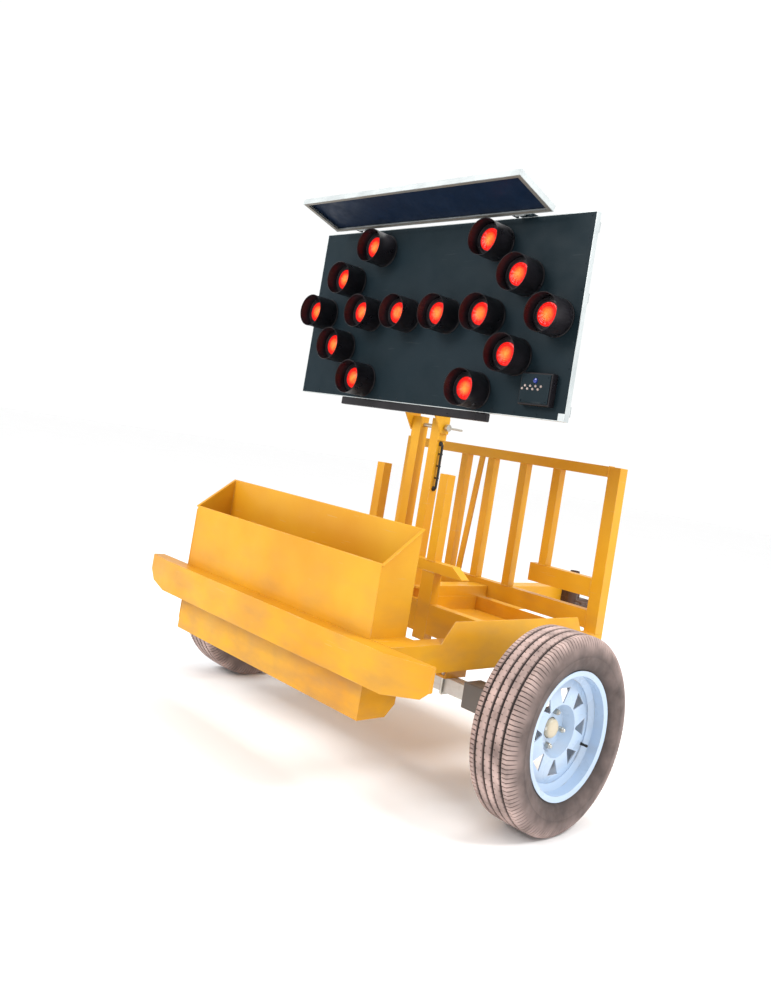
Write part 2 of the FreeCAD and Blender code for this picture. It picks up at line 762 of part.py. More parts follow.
def hub_cap():
    """Pressed cap over the spindle end."""
    size("cap_radius", 30)
    size("cap_length", 15)
    size("cap_sheet", 3)
    size("cap_round", 6)
    top = "disc_out + cap_length"
    profile = [
        ("0", top),
        ("cap_radius - cap_round", top),
        ("cap_radius", top + " - cap_round"),
        ("cap_radius", "disc_out - disc_sheet"),
        ("cap_radius - cap_sheet", "disc_out - disc_sheet"),
        ("cap_radius - cap_sheet", top + " - cap_round - cap_sheet"),
        ("cap_radius - cap_round - cap_sheet", top + " - cap_sheet"),
        ("0", top + " - cap_sheet"),
    ]
    pair("hub_cap", turned("cap_shape", profile, AXLE, "+x"))


# ---------------------------------------------------------------- sign board sizes
size("board_half", 673)
size("board_bottom", 1225)
size("board_top", 1904)
size("board_front", -26)
size("board_thick", 22)
size("back_depth", 35)
size("back_tube", 35)
BOARD_FRONT = "axle_y + board_front"
BOARD_BACK = "axle_y + board_front + board_thick"
BACK_FRAME = "axle_y + board_front + board_thick + back_depth"
PANEL_BACK = "axle_y + board_front + trim"

# ---------------------------------------------------------------- shared fitting sizes
size("hinge_y", -72)
size("hinge_z", 1900)
size("barrel_radius", 8)
size("barrel_half", 19)
size("pin_radius", 4)
size("strap_x", 400)
size("strap_half", 32)
size("lid_skirt", 22)
size("lid_pin", 3)
size("lid_axis_out", 6)
size("handle_y", 1225)
size("handle_z", 518)
size("handle_half", 12)
size("handle_boss", 14)
size("handle_pin_radius", 4)
LID_AXIS = "axle_y + box_front + lid_axis_out"
LID_HINGE = "box_top - lid_skirt"


def board():
    """Face panel, edge trim, corner guards, back frame, lower bar and pivot brackets."""
    size("trim", 3)
    size("guard_size", 26)
    size("lower_bar_left", -410)
    size("lower_bar_right", 354)
    size("lower_bar_bottom", 1195)
    size("lower_bar_depth", 22)
    size("bracket_x", 74.4)
    size("bracket_plate", 6)
    size("bracket_top", 1420)
    size("bracket_bottom", 1136)
    size("upright_x", 430)
    size("rail_inset", 20)
    size("rest_z", 1633)
    size("rest_length", 90.5)
    size("rest_tip", 6)
    size("rest_radius", 14)
    low = ("-board_half + trim", BOARD_FRONT, "board_bottom + trim")
    high = ("board_half - trim", BOARD_BACK, "board_top - trim")
    hollow_low = ("-board_half + 2 * trim", PANEL_BACK, "board_bottom + 2 * trim")
    hollow_high = ("board_half - 2 * trim", BOARD_BACK + " + trim", "board_top - 2 * trim")
    pan = cut("panel_pan", box("panel_box", low, high), [box("panel_hollow", hollow_low, hollow_high)])
    node(pan, "board_panel")
    edge_low = ("-board_half", BOARD_FRONT, "board_bottom")
    edge = box("trim_outside", edge_low, ("board_half", BOARD_BACK, "board_top"))
    space_low = (low[0], BOARD_FRONT + " - trim", low[2])
    space_high = (high[0], BOARD_BACK + " + trim", high[2])
    node(cut("trim_ring", edge, [box("trim_inside", space_low, space_high)]), "board_trim")
    guard_low = ("board_half - guard_size", BOARD_FRONT + " - trim", "board_bottom")
    guard_high = ("board_half", BOARD_FRONT, "board_bottom + guard_size")
    node(box("corner_guard", guard_low, guard_high), "board_corner_guard")
    rails = []
    levels = ("board_bottom + rail_inset", "board_top - rail_inset - back_tube", "rest_z - back_tube / 2")
    for level in levels:
        rail_low = ("-board_half + rail_inset", PANEL_BACK, level)
        rail_high = ("board_half - rail_inset", BACK_FRAME, level + " + back_tube")
        rails.append(tube("back_rail", rail_low, rail_high, "trim", "x"))
    for start in ("-upright_x - back_tube / 2", "upright_x - back_tube / 2"):
        upright_low = (start, PANEL_BACK, "board_bottom + rail_inset")
        upright_high = (start + " + back_tube", BACK_FRAME, "board_top - rail_inset")
        rails.append(tube("back_upright", upright_low, upright_high, "trim", "z"))
    node(fuse("back_frame_shape", rails), "board_back_frame")
    low = ("lower_bar_left", BOARD_FRONT, "lower_bar_bottom")
    high = ("lower_bar_right", BOARD_FRONT + " + lower_bar_depth", "board_bottom")
    node(box("lower_bar_box", low, high), "lower_bar")
    outline_points = [
        (PANEL_BACK, "bracket_top"),
        (PANEL_BACK, "board_bottom + rail_inset"),
        (BOARD_BACK, "board_bottom + rail_inset"),
        (BOARD_BACK, "board_bottom"),
        ("axle_y + mast_y - mast_width / 2", "bracket_bottom"),
        ("axle_y + mast_y + mast_width / 2", "bracket_bottom"),
        ("axle_y + mast_y + mast_width / 2", "mast_top"),
        (BACK_FRAME, "bracket_top"),
    ]
    plate = prism("bracket_plate_shape", "YZ", outline_points, "bracket_x", "bracket_x + bracket_plate")
    hole = rod("bracket_hole", ("0", "axle_y + mast_y", "pivot_z"), "+x", "pivot_radius", "bracket_x * 2")
    rail_low = ("bracket_x - plate", PANEL_BACK, "board_bottom + rail_inset")
    rail_high = ("bracket_x + bracket_plate + plate", BACK_FRAME, "board_bottom + rail_inset + back_tube")
    keep = box("bracket_rail_space", rail_low, rail_high)
    bracket = cut("bracket_right", plate, [hole, keep])
    node(group("bracket_pair", [bracket, mirrored("bracket_left", bracket)]), "board_brackets")
    rests = []
    for side in ("-", "+"):
        start = ("%s upright_x" % side, BACK_FRAME, "rest_z")
        leg = rod("rest_leg", start, "+y", "rest_radius - plate", "rest_length - rest_tip")
        end = ("%s upright_x" % side, BACK_FRAME + " + rest_length - rest_tip", "rest_z")
        rests.append(fuse("rest_buffer", [leg, rod("rest_tip_pad", end, "+y", "rest_radius", "rest_tip")]))
    node(group("rest_pair", rests), "board_rests")


def lamps():
    """Fourteen lamps in a double-ended arrow: hood, black body and lens."""
    size("lamp_z", 1556.6)
    size("tip_x", 585)
    size("middle_x", 443)
    size("middle_rise", 134)
    size("end_x", 291.5)
    size("end_rise", 259)
    size("shaft_x", 102.6)
    size("shaft_outer_x", 304.4)
    size("hood_radius", 65)
    size("hood_wall", 2)
    size("hood_length", 98)
    size("body_length", 56)
    size("lens_radius", 39)
    size("lens_proud", 5)
    points = []
    for side in ("-", "+"):
        points.append(("%s tip_x" % side, "lamp_z"))
        points.append(("%s shaft_x" % side, "lamp_z"))
        points.append(("%s shaft_outer_x" % side, "lamp_z"))
        for rise in ("-", "+"):
            points.append(("%s middle_x" % side, "lamp_z %s middle_rise" % rise))
            points.append(("%s end_x" % side, "lamp_z %s end_rise" % rise))
    hood = pipe("hood_one", ("0", "0", "0"), "-y", "hood_radius", "hood_radius - hood_wall", "hood_length")
    bodies = turned("lamp_body_one", [
        ("0", "0"),
        ("hood_radius - hood_wall", "0"),
        ("hood_radius - hood_wall", "body_length - plate"),
        ("hood_radius - hood_wall - plate", "body_length"),
        ("lens_radius", "body_length"),
        ("lens_radius", "body_length - plate"),
        ("0", "body_length - plate"),
    ], ("0", "0", "0"), "-y")
    lens = turned("lens_one", [
        ("0", "body_length - plate"),
        ("lens_radius", "body_length - plate"),
        ("lens_radius", "body_length"),
        ("lens_radius * 2 / 3", "body_length + lens_proud * 2 / 3"),
        ("0", "body_length + lens_proud"),
    ], ("0", "0", "0"), "-y")
    places = [(across, BOARD_FRONT, up) for across, up in points]
    node(copies("hoods", hood, places), "lamp_hoods")
    node(copies("bodies", bodies, places), "lamp_bodies")
    node(copies("lenses", lens, places), "lamp_lenses")


def controls():
    """Control box with a pilot lamp low on the board face."""
    size("control_left", 500)
    size("control_right", 625)
    size("control_bottom", 1265)
    size("control_top", 1372)
    size("control_depth", 30)
    size("pilot_radius", 9)
    size("pilot_length", 8)
    low = ("control_left", BOARD_FRONT + " - control_depth", "control_bottom")
    high = ("control_right", BOARD_FRONT, "control_top")
    node(box("control_case", low, high), "control_box")
    centre = "(control_left + control_right) / 2"
    start = (centre, BOARD_FRONT + " - control_depth", "control_top - 3 * pilot_radius")
    node(rod("pilot_rod", start, "-y", "pilot_radius", "pilot_length"), "pilot_lamp")


def fold_pivot():
    """Pivot bolt through the mast head, with a clamping lever on its end."""
    size("bolt_half", 86)
    size("lever_hub", 13)
    size("lever_length", 66)
    start = ("-bolt_half", "axle_y + mast_y", "pivot_z")
    bolt = rod("pivot_rod", start, "+x", "pivot_radius - running_gap", "2 * bolt_half + lever_hub")
    node(bolt, "pivot_bolt")
    hub = pipe("lever_boss", ("bolt_half", "axle_y + mast_y", "pivot_z"), "+x", "lever_hub",
               "pivot_radius", "lever_hub")
    start = ("bolt_half + lever_hub / 2", "axle_y + mast_y + lever_hub - 2 * running_gap", "pivot_z")
    arm = rod("lever_arm", start, "+y", "lever_hub / 3", "lever_length")
    node(fuse("lever_shape", [hub, arm]), "clamp_lever")


def solar_panel():
    """Framed solar panel with two knuckles along its far edge."""
    size("solar_half", 545)
    size("solar_depth", 202)
    size("solar_thick", 22)
    size("solar_wall", 3)
    size("solar_inset", 1)
    size("solar_glass", 5)
    size("solar_slope", 16.6)
    near = "-solar_depth - barrel_radius - solar_inset"
    far = "-barrel_radius - solar_inset"
    low = ("-solar_half", near, "-solar_thick / 2")
    block = box("solar_block", low, ("solar_half", far, "solar_thick / 2"))
    left = "-solar_half + solar_wall"
    right = "solar_half - solar_wall"
    hollow_low = (left, near + " + solar_wall", "-solar_thick")
    hollow_high = (right, far + " - solar_wall", "solar_thick")
    ring = cut("solar_ring", block, [box("solar_hollow", hollow_low, hollow_high)])
    top = "solar_thick / 2 - solar_inset"
    pane_low = (left, near + " + solar_wall", top + " - solar_glass")
    pane = box("solar_pane", pane_low, (right, far + " - solar_wall", top))
    barrels = []
    for side in ("-", "+"):
        start = ("%s strap_x - barrel_half" % side, "0", "0")
        bore = "pin_radius + running_gap"
        knuckle = pipe("solar_knuckle", start, "+x", "barrel_radius", bore, "2 * barrel_half")
        tab_low = ("%s strap_x - barrel_half" % side, far, "-pin_radius")
        tab_high = ("%s strap_x + barrel_half" % side, far + " + solar_wall", "pin_radius")
        barrels.append(fuse("solar_barrel", [knuckle, box("solar_tab", tab_low, tab_high)]))
    slope = FreeCAD.Rotation(FreeCAD.Vector(1, 0, 0), -number("solar_slope"))
    for source, name in ((fuse("solar_ring_hinged", [ring] + barrels), "solar_frame"), (pane, "solar_panel")):
        link = doc.addObject("App::Link", name + "_link")
        link.LinkedObject = source
        link.LinkTransform = True
        link.Placement = FreeCAD.Placement(FreeCAD.Vector(), slope)
        link.setExpression("Placement.Base.y", named("axle_y + hinge_y"))
        link.setExpression("Placement.Base.z", named("hinge_z"))
        node(group(name + "_shape", [link]), name)


def solar_straps():
    """Two straps over the board top that carry the panel on pins."""
    size("strap_plate", 4)
    size("strap_drop", 60)
    size("ear_half", 6)
    size("ear_reach", 24)
    straps = []
    pins = []
    for side in ("-", "+"):
        left = "%s strap_x - strap_half" % side
        right = "%s strap_x + strap_half" % side
        low = (left, "axle_y + hinge_y + 2 * barrel_radius", "board_top")
        parts = [box("strap_flat", low, (right, BACK_FRAME, "board_top + strap_plate"))]
        low = (left, BACK_FRAME, "board_top - strap_drop")
        high = (right, BACK_FRAME + " + strap_plate", "board_top + strap_plate")
        parts.append(box("strap_back", low, high))
        start = (left, "axle_y + hinge_y", "hinge_z")
        pins.append(rod("solar_pin", start, "+x", "pin_radius", "2 * strap_half"))
        for edge in (left, right + " - 2 * strap_plate"):
            ear_low = (edge, "axle_y + hinge_y - ear_half", "hinge_z - ear_half")
            ear_high = (edge + " + 2 * strap_plate", "axle_y + hinge_y + ear_reach", "hinge_z + ear_half")
            parts.append(box("strap_ear", ear_low, ear_high))
        bore = rod("strap_bore", start, "+x", "pin_radius", "2 * strap_half")
        straps.append(cut("strap_bored", fuse("strap_solid", parts), [bore]))
    node(group("strap_pair", straps), "solar_straps")
    node(group("pin_pair", pins), "solar_pins")


def battery():
    """Battery in its box on the left tray, with a lid hinged in two ears."""
    size("box_left", -470)
    size("box_right", -150)
    size("box_rear", 100)
    size("box_front", 300)
    size("box_top", 645)
    size("battery_long", 260)
    size("battery_wide", 170)
    size("battery_tall", 165)
    size("ear_plate", 4)
    size("ear_gap", 9)
    size("ear_width", 20)
    floor = "tray_bottom + tube_wall"
    inside = floor + " + tube_wall"
    low = ("box_left", "axle_y + box_rear", floor)
    high = ("box_right", "axle_y + box_front", "box_top")
    hollow_low = ("box_left + tube_wall", "axle_y + box_rear + tube_wall", inside)
    hollow_high = ("box_right - tube_wall", "axle_y + box_front - tube_wall", "box_top + tube_wall")
    outside = box("battery_case_outside", low, high)
    case = [cut("battery_case", outside, [box("battery_case_inside", hollow_low, hollow_high)])]
    bottom = LID_HINGE + " - ear_width"
    for wall, face in (("box_left", "box_left - ear_gap"), ("box_right", "box_right + ear_gap - ear_plate")):
        edges = sorted([wall, face, face + " + ear_plate"], key=number)
        plate_low = (face, LID_AXIS + " - ear_width", bottom)
        plate_high = (face + " + ear_plate", LID_AXIS + " + ear_plate", LID_HINGE + " + ear_plate")
        bridge_high = (edges[2], LID_AXIS + " - ear_gap", LID_HINGE + " - ear_plate")
        case.append(box("lid_ear", plate_low, plate_high))
        case.append(box("lid_ear_bridge", (edges[0], LID_AXIS + " - ear_width", bottom), bridge_high))
    start = ("box_left - 2 * ear_gap", LID_AXIS, LID_HINGE)
    bore = rod("lid_ear_bore", start, "+x", "lid_pin + running_gap", "box_right - box_left + 4 * ear_gap")
    node(cut("battery_case_bored", fuse("battery_case_eared", case), [bore]), "battery_box")
    middle = "(box_left + box_right) / 2"
    across = "axle_y + (box_rear + box_front) / 2"
    low = (middle + " - battery_long / 2", across + " - battery_wide / 2", inside)
    high = (middle + " + battery_long / 2", across + " + battery_wide / 2", inside + " + battery_tall")
    node(box("battery_block", low, high), "battery")


def battery_lid():
    """Skirted lid with its hinge rod along the front edge."""
    size("lid_thick", 3)
    size("lid_gap", 1)
    size("lid_reach", 4)
    low = ("box_left - lid_reach", "axle_y + box_rear - lid_reach", "box_top - lid_skirt")
    high = ("box_right + lid_reach", "axle_y + box_front + lid_reach", "box_top + lid_thick")
    hollow_low = ("box_left - lid_gap", "axle_y + box_rear - lid_gap", "box_top - 2 * lid_skirt")
    hollow_high = ("box_right + lid_gap", "axle_y + box_front + lid_gap", "box_top")
    shell = cut("lid_shape", box("lid_outside", low, high), [box("lid_inside", hollow_low, hollow_high)])
    start = ("box_left - ear_gap - lid_pin", LID_AXIS, LID_HINGE)
    hinge = rod("lid_hinge_rod", start, "+x", "lid_pin", "box_right - box_left + 2 * (ear_gap + lid_pin)")
    node(fuse("lid_hinged", [shell, hinge]), "battery_lid")


def coupling(u_bolts):
    """Ball coupling head under the drawbar nose, with ears for its release handle."""
    size("head_half", 34)
    size("head_bottom", 420)
    size("head_top", 520)
    size("head_rear", 1040)
    size("head_front", 1328)
    size("head_drop", 8)
    size("head_slope", 22)
    size("ball_radius", 25.4)
    size("ball_y", 1285)
    size("socket_depth", 40)
    size("ear_thick", 6)
    size("ear_space", 1)
    size("ear_foot", 30)
    size("ear_tip", 10)
    size("head_bolt", 8)
    size("head_bolt_first", 25)
    size("head_bolt_second", 70)
    nose = "axle_y + spine_end"
    side_view = [
        ("axle_y + head_rear", "spine_bottom - head_drop"),
        (nose, "spine_bottom - head_drop"),
        ("axle_y + ball_y - head_half", "head_bottom"),
        ("axle_y + head_front", "head_bottom"),
        ("axle_y + head_front", "head_bottom + socket_depth"),
        ("axle_y + head_front - head_half", "head_top - head_slope"),
        (nose + " + head_half", "head_top - head_half / 2"),
        (nose, "head_top"),
        (nose, "spine_bottom"),
        ("axle_y + head_rear", "spine_bottom"),
    ]
    solid = prism("head_solid", "YZ", side_view, "-head_half", "head_half")
    socket = rod("ball_socket", ("0", "axle_y + ball_y", "head_bottom"), "+z", "ball_radius", "socket_depth")
    head = cut("head_bored", solid, [socket])
    bolts = []
    for offset in ("head_bolt_first", "head_bolt_second"):
        start = ("0", "axle_y + head_rear + " + offset, "spine_bottom - head_drop - head_bolt")
        bolts.append(rod("coupling_bolt", start, "+z", "head_bolt", "head_bolt"))
    node(group("frame_bolt_set", u_bolts + bolts), "frame_bolts")
    ear_view = [
        ("axle_y + handle_y - handle_boss", "handle_z - ear_foot"),
        ("axle_y + handle_y + handle_boss", "handle_z - ear_foot"),
        ("axle_y + handle_y + handle_boss", "handle_z + ear_tip"),
        ("axle_y + handle_y - handle_boss", "handle_z + ear_tip"),
    ]
    ears = []
    for start in ("-handle_half - ear_space - ear_thick", "handle_half + ear_space"):
        ears.append(prism("handle_ear", "YZ", ear_view, start, start + " + ear_thick"))
    start = ("-handle_half - ear_space - ear_thick", "axle_y + handle_y", "handle_z")
    pin = rod("handle_pin", start, "+x", "handle_pin_radius", "2 * (handle_half + ear_space + ear_thick)")
    node(fuse("head_shape", [head, pin] + ears), "coupling_head")


def release_handle():
    """Bent lever that turns on the pin of the coupling head."""
    size("handle_rise", 62)
    size("handle_reach", 90)
    size("handle_edge", 12)
    pivot = "axle_y + handle_y"
    grip = [
        (pivot, "handle_z - handle_boss"),
        (pivot + " + handle_boss", "handle_z"),
        (pivot, "handle_z + handle_boss"),
        (pivot + " - handle_reach", "handle_z + handle_rise"),
        (pivot + " - handle_reach - handle_edge / 2", "handle_z + handle_rise - handle_edge"),
        (pivot + " - handle_boss", "handle_z"),
    ]
    arm = prism("handle_arm", "YZ", grip, "-handle_half", "handle_half")
    bore = rod("handle_bore", ("-head_half", pivot, "handle_z"), "+x",
               "handle_pin_radius + running_gap", "2 * head_half")
    node(cut("handle_shape", arm, [bore]), "coupling_handle")


def prop_stand():
    """Prop stand on the drawbar side: clamp sleeve, sliding leg, foot and clamp screw."""
    size("prop_x", 75)
    size("prop_y", 1085)
    size("prop_radius", 21)
    size("prop_wall", 3)
    size("prop_top", 640)
    size("sleeve_wall", 5)
    size("sleeve_bottom", 455)
    size("sleeve_top", 565)
    size("foot_radius", 55)
    size("foot_height", 8)
    size("screw_radius", 5)
    size("screw_z", 510)
    size("screw_reach", 60)
    size("screw_bar", 35)
    size("screw_gap", 1)
    outer = "prop_radius + running_gap + sleeve_wall"
    start = ("prop_x", "axle_y + prop_y", "sleeve_bottom")
    low = ("spine_half", "axle_y + prop_y - prop_radius", "sleeve_bottom + sleeve_wall")
    high = ("prop_x", "axle_y + prop_y + prop_radius", "sleeve_top - sleeve_wall")
    sleeve = rod("sleeve_outside", start, "+z", outer, "sleeve_top - sleeve_bottom")
    block = fuse("sleeve_block", [sleeve, box("sleeve_arm", low, high)])
    bore = rod("sleeve_bore", start, "+z", "prop_radius + running_gap", "sleeve_top - sleeve_bottom")
    face = "prop_x + prop_radius"
    start = (face, "axle_y + prop_y", "screw_z")
    tapped = rod("screw_hole", start, "+x", "screw_radius + running_gap", "screw_reach")
    node(cut("sleeve_shape", block, [bore, tapped]), "prop_sleeve")
    start = ("prop_x", "axle_y + prop_y", "foot_height")
    leg = pipe("leg_tube", start, "+z", "prop_radius", "prop_radius - prop_wall", "prop_top - foot_height")
    foot = rod("foot_disc", ("prop_x", "axle_y + prop_y", "0"), "+z", "foot_radius", "foot_height")
    node(fuse("leg_shape", [leg, foot]), "prop_leg")
    start = (face + " + screw_gap", "axle_y + prop_y", "screw_z")
    screw = rod("screw_rod", start, "+x", "screw_radius", "screw_reach")
    bar_start = (face + " + screw_reach - screw_radius", "axle_y + prop_y - screw_bar", "screw_z")
    bar = rod("screw_tee", bar_start, "+y", "screw_radius", "2 * screw_bar")
    node(fuse("screw_shape", [screw, bar]), "prop_clamp_screw")


def mast_cable():
    """Lamp cable held along the right mast post, from one gland to the next."""
    size("cable_radius", 5)
    size("cable_x", 80)
    size("cable_low", 930)
    size("cable_high", 1098)
    size("cable_bend", 10)
    face = number("mast_x + mast_width / 2")
    out = number("cable_x")
    bend = number("cable_bend")
    low = number("cable_low")
    high = number("cable_high")
    across = number("axle_y + mast_y")
    corner = bend * (1 - 0.5 ** 0.5)
    points = [
        FreeCAD.Vector(face, across, low),
        FreeCAD.Vector(out - bend, across, low),
        FreeCAD.Vector(out - corner, across, low + corner),
        FreeCAD.Vector(out, across, low + bend),
        FreeCAD.Vector(out, across, high - bend),
        FreeCAD.Vector(out - corner, across, high - corner),
        FreeCAD.Vector(out - bend, across, high),
        FreeCAD.Vector(face, across, high),
    ]
    edges = [
        Part.LineSegment(points[0], points[1]).toShape(),
        Part.Arc(points[1], points[2], points[3]).toShape(),
        Part.LineSegment(points[3], points[4]).toShape(),
        Part.Arc(points[4], points[5], points[6]).toShape(),
        Part.LineSegment(points[6], points[7]).toShape(),
    ]
    ring = Part.Wire(Part.Circle(points[0], FreeCAD.Vector(1, 0, 0), number("cable_radius")).toShape())
    item = doc.addObject("Part::Feature", "mast_cable_route")
    item.Shape = Part.Wire(edges).makePipeShell([ring], True, False)
    node(item, "mast_cable")


rear_beam()
rail = bin_box()
side_members()
cross_members(rail)
trays()
spine()
portal()
mast()
rack_frame()
rack_bars()
axle_bolts = axle()
tyre()
rim()
hub()
wheel_nuts()
hub_cap()
board()
lamps()
controls()
fold_pivot()
solar_panel()
solar_straps()
battery()
battery_lid()
coupling(axle_bolts)
release_handle()
prop_stand()
mast_cable()
doc.recompute()

for item in doc.Objects:
    if "Invalid" in item.State or "Error" in item.State:
        raise RuntimeError("object did not build: %s %s" % (item.Name, item.State))

os.makedirs("parts", exist_ok=True)
for item in nodes:
    shape = item.Shape
    if shape.isNull() or not shape.isValid() or not shape.Solids:
        raise RuntimeError("bad shape: " + item.Label)
    shape.exportStep("parts/%s.step" % item.Label)
    print("%-22s solids %2d volume %10.0f" % (item.Label, len(shape.Solids), shape.Volume), shape.BoundBox)
print("nodes", len(nodes))
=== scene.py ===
import bmesh
import bpy
import json
import math
from mathutils import Matrix, Vector


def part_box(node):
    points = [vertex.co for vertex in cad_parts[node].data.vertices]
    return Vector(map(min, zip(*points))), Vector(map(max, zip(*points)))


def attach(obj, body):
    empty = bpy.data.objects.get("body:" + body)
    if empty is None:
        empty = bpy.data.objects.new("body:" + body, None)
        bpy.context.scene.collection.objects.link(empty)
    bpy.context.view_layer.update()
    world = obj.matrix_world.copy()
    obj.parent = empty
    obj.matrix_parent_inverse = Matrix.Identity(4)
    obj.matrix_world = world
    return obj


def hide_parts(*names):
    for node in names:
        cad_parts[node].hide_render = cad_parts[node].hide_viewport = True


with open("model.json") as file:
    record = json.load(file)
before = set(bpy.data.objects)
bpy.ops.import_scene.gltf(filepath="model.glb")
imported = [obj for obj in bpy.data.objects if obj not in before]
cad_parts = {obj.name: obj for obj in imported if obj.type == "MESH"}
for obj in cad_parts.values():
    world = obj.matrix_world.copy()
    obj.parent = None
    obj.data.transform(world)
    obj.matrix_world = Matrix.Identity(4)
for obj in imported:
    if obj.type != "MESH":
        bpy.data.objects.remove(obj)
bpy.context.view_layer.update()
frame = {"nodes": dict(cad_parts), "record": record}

MM = 0.001
AXLE_Y = -0.378
AXLE_Z = 0.3005
WHEEL_X = 0.7845
LAMP_Z = 1.5566
MAST_Y = -0.298
PIVOT_Z = 1.16
NUT_CIRCLE = 0.051
FIRST_NUT = 80
SCREW_Y = AXLE_Y + 1.085
SCREW_Z = 0.51
FACE_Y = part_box("board_panel")[0][1]


# ------------------------------------------------------------------ materials
def material(name, color, rough=0.5, metal=0.0, coat=0.0, specular=0.5):
    """A new node material with its base shader; returns the material, tree and shader."""
    mat = bpy.data.materials.new(name)
    mat.use_nodes = True
    tree = mat.node_tree
    shader = tree.nodes["Principled BSDF"]
    shader.inputs["Base Color"].default_value = (*color, 1)
    shader.inputs["Roughness"].default_value = rough
    shader.inputs["Metallic"].default_value = metal
    shader.inputs["Coat Weight"].default_value = coat
    shader.inputs["Coat Roughness"].default_value = 0.15
    shader.inputs["Specular IOR Level"].default_value = specular
    return mat, tree, shader


def noise(tree, scale, detail=4.0, stretch=(1, 1, 1), rough=0.5):
    """Noise in the object's own frame, stretched along its axes."""
    coord = tree.nodes.new("ShaderNodeTexCoord")
    mapping = tree.nodes.new("ShaderNodeMapping")
    mapping.inputs["Scale"].default_value = stretch
    tree.links.new(coord.outputs["Object"], mapping.inputs["Vector"])
    node = tree.nodes.new("ShaderNodeTexNoise")
    node.inputs["Scale"].default_value = scale
    node.inputs["Detail"].default_value = detail
    node.inputs["Roughness"].default_value = rough
    tree.links.new(mapping.outputs["Vector"], node.inputs["Vector"])
    return node.outputs["Fac"]


def ramp(tree, value, low, high, start=0.0, end=1.0):
    """Map a value between two levels onto a new range."""
    node = tree.nodes.new("ShaderNodeMapRange")
    node.inputs["From Min"].default_value = low
    node.inputs["From Max"].default_value = high
    node.inputs["To Min"].default_value = start
    node.inputs["To Max"].default_value = end
    tree.links.new(value, node.inputs["Value"])
    return node.outputs["Result"]


def mix(tree, factor, first, second):
    """Mix two colours, each a colour or a socket, by a factor socket."""
    node = tree.nodes.new("ShaderNodeMix")
    node.data_type = "RGBA"
    tree.links.new(factor, node.inputs[0])
    for socket, color in ((node.inputs[6], first), (node.inputs[7], second)):
        if isinstance(color, tuple):
            socket.default_value = (*color, 1)
        else:
            tree.links.new(color, socket)
    return node.outputs[2]


def times(tree, first, second):
    """The product of two values."""
    node = tree.nodes.new("ShaderNodeMath")
    node.operation = "MULTIPLY"
    tree.links.new(first, node.inputs[0])
    tree.links.new(second, node.inputs[1])
    return node.outputs[0]


def bump(tree, shader, height, strength, distance):
    """Fine relief from a height value."""
    node = tree.nodes.new("ShaderNodeBump")
    node.inputs["Strength"].default_value = strength
    node.inputs["Distance"].default_value = distance
    tree.links.new(height, node.inputs["Height"])
    tree.links.new(node.outputs["Normal"], shader.inputs["Normal"])


def edge_mask(tree, radius):
    """Bright along hard edges, from how far a rounded normal leans from the flat one."""
    bevel = tree.nodes.new("ShaderNodeBevel")
    bevel.samples = 4
    bevel.inputs["Radius"].default_value = radius
    geometry = tree.nodes.new("ShaderNodeNewGeometry")
    dot = tree.nodes.new("ShaderNodeVectorMath")
    dot.operation = "DOT_PRODUCT"
    tree.links.new(bevel.outputs["Normal"], dot.inputs[0])
    tree.links.new(geometry.outputs["Normal"], dot.inputs[1])
    return ramp(tree, dot.outputs["Value"], 0.995, 0.9)


def height_mask(tree, low, high):
    """One below the low level, fading to none at the high level."""
    coord = tree.nodes.new("ShaderNodeTexCoord")
    split = tree.nodes.new("ShaderNodeSeparateXYZ")
    tree.links.new(coord.outputs["Object"], split.inputs[0])
    return ramp(tree, split.outputs["Z"], high, low)


def painted(name, color, shade, wear, rough=0.36, coat=0.25, dust=(0.55, 0.42, 0.28), dusty=0.3,
            specular=0.5):
    """Sprayed paint: orange peel, drifted tone, rubbed edges, fine scratches and road dust."""
    mat, tree, shader = material(name, color, rough, 0.0, coat, specular)
    tone = mix(tree, ramp(tree, noise(tree, 2.3), 0.35, 0.65), color, shade)
    rub = times(tree, edge_mask(tree, 0.003), ramp(tree, noise(tree, 26, 6), 0.46, 0.62))
    tone = mix(tree, rub, tone, wear)
    scratch = ramp(tree, noise(tree, 9, 3, (1, 1, 14)), 0.69, 0.74, 0, 0.35)
    tone = mix(tree, scratch, tone, wear)
    patches = ramp(tree, noise(tree, 7, 8, (1, 1, 2.5)), 0.42, 0.75, 0, dusty * 2)
    grime = times(tree, height_mask(tree, 0.15, 0.75), patches)
    tone = mix(tree, grime, tone, dust)
    tree.links.new(tone, shader.inputs["Base Color"])
    sheen = ramp(tree, noise(tree, 14, 6), 0.3, 0.7, rough - 0.08, rough + 0.14)
    tree.links.new(sheen, shader.inputs["Roughness"])
    bump(tree, shader, noise(tree, 420, 2), 0.12, 0.0004)
    return mat


def brushed(name, color, rough=0.35, stretch=(1, 30, 30), metal=1.0, stain=(0.2, 0.17, 0.13)):
    """Bare or plated metal with drawn lines and stains."""
    mat, tree, shader = material(name, color, rough, metal)
    lines = noise(tree, 30, 5, stretch)
    blotch = ramp(tree, noise(tree, 11, 7), 0.45, 0.75, 0, 0.7)
    tree.links.new(mix(tree, blotch, color, stain), shader.inputs["Base Color"])
    tree.links.new(ramp(tree, lines, 0.3, 0.7, rough - 0.1, rough + 0.18), shader.inputs["Roughness"])
    bump(tree, shader, lines, 0.15, 0.0004)
    return mat


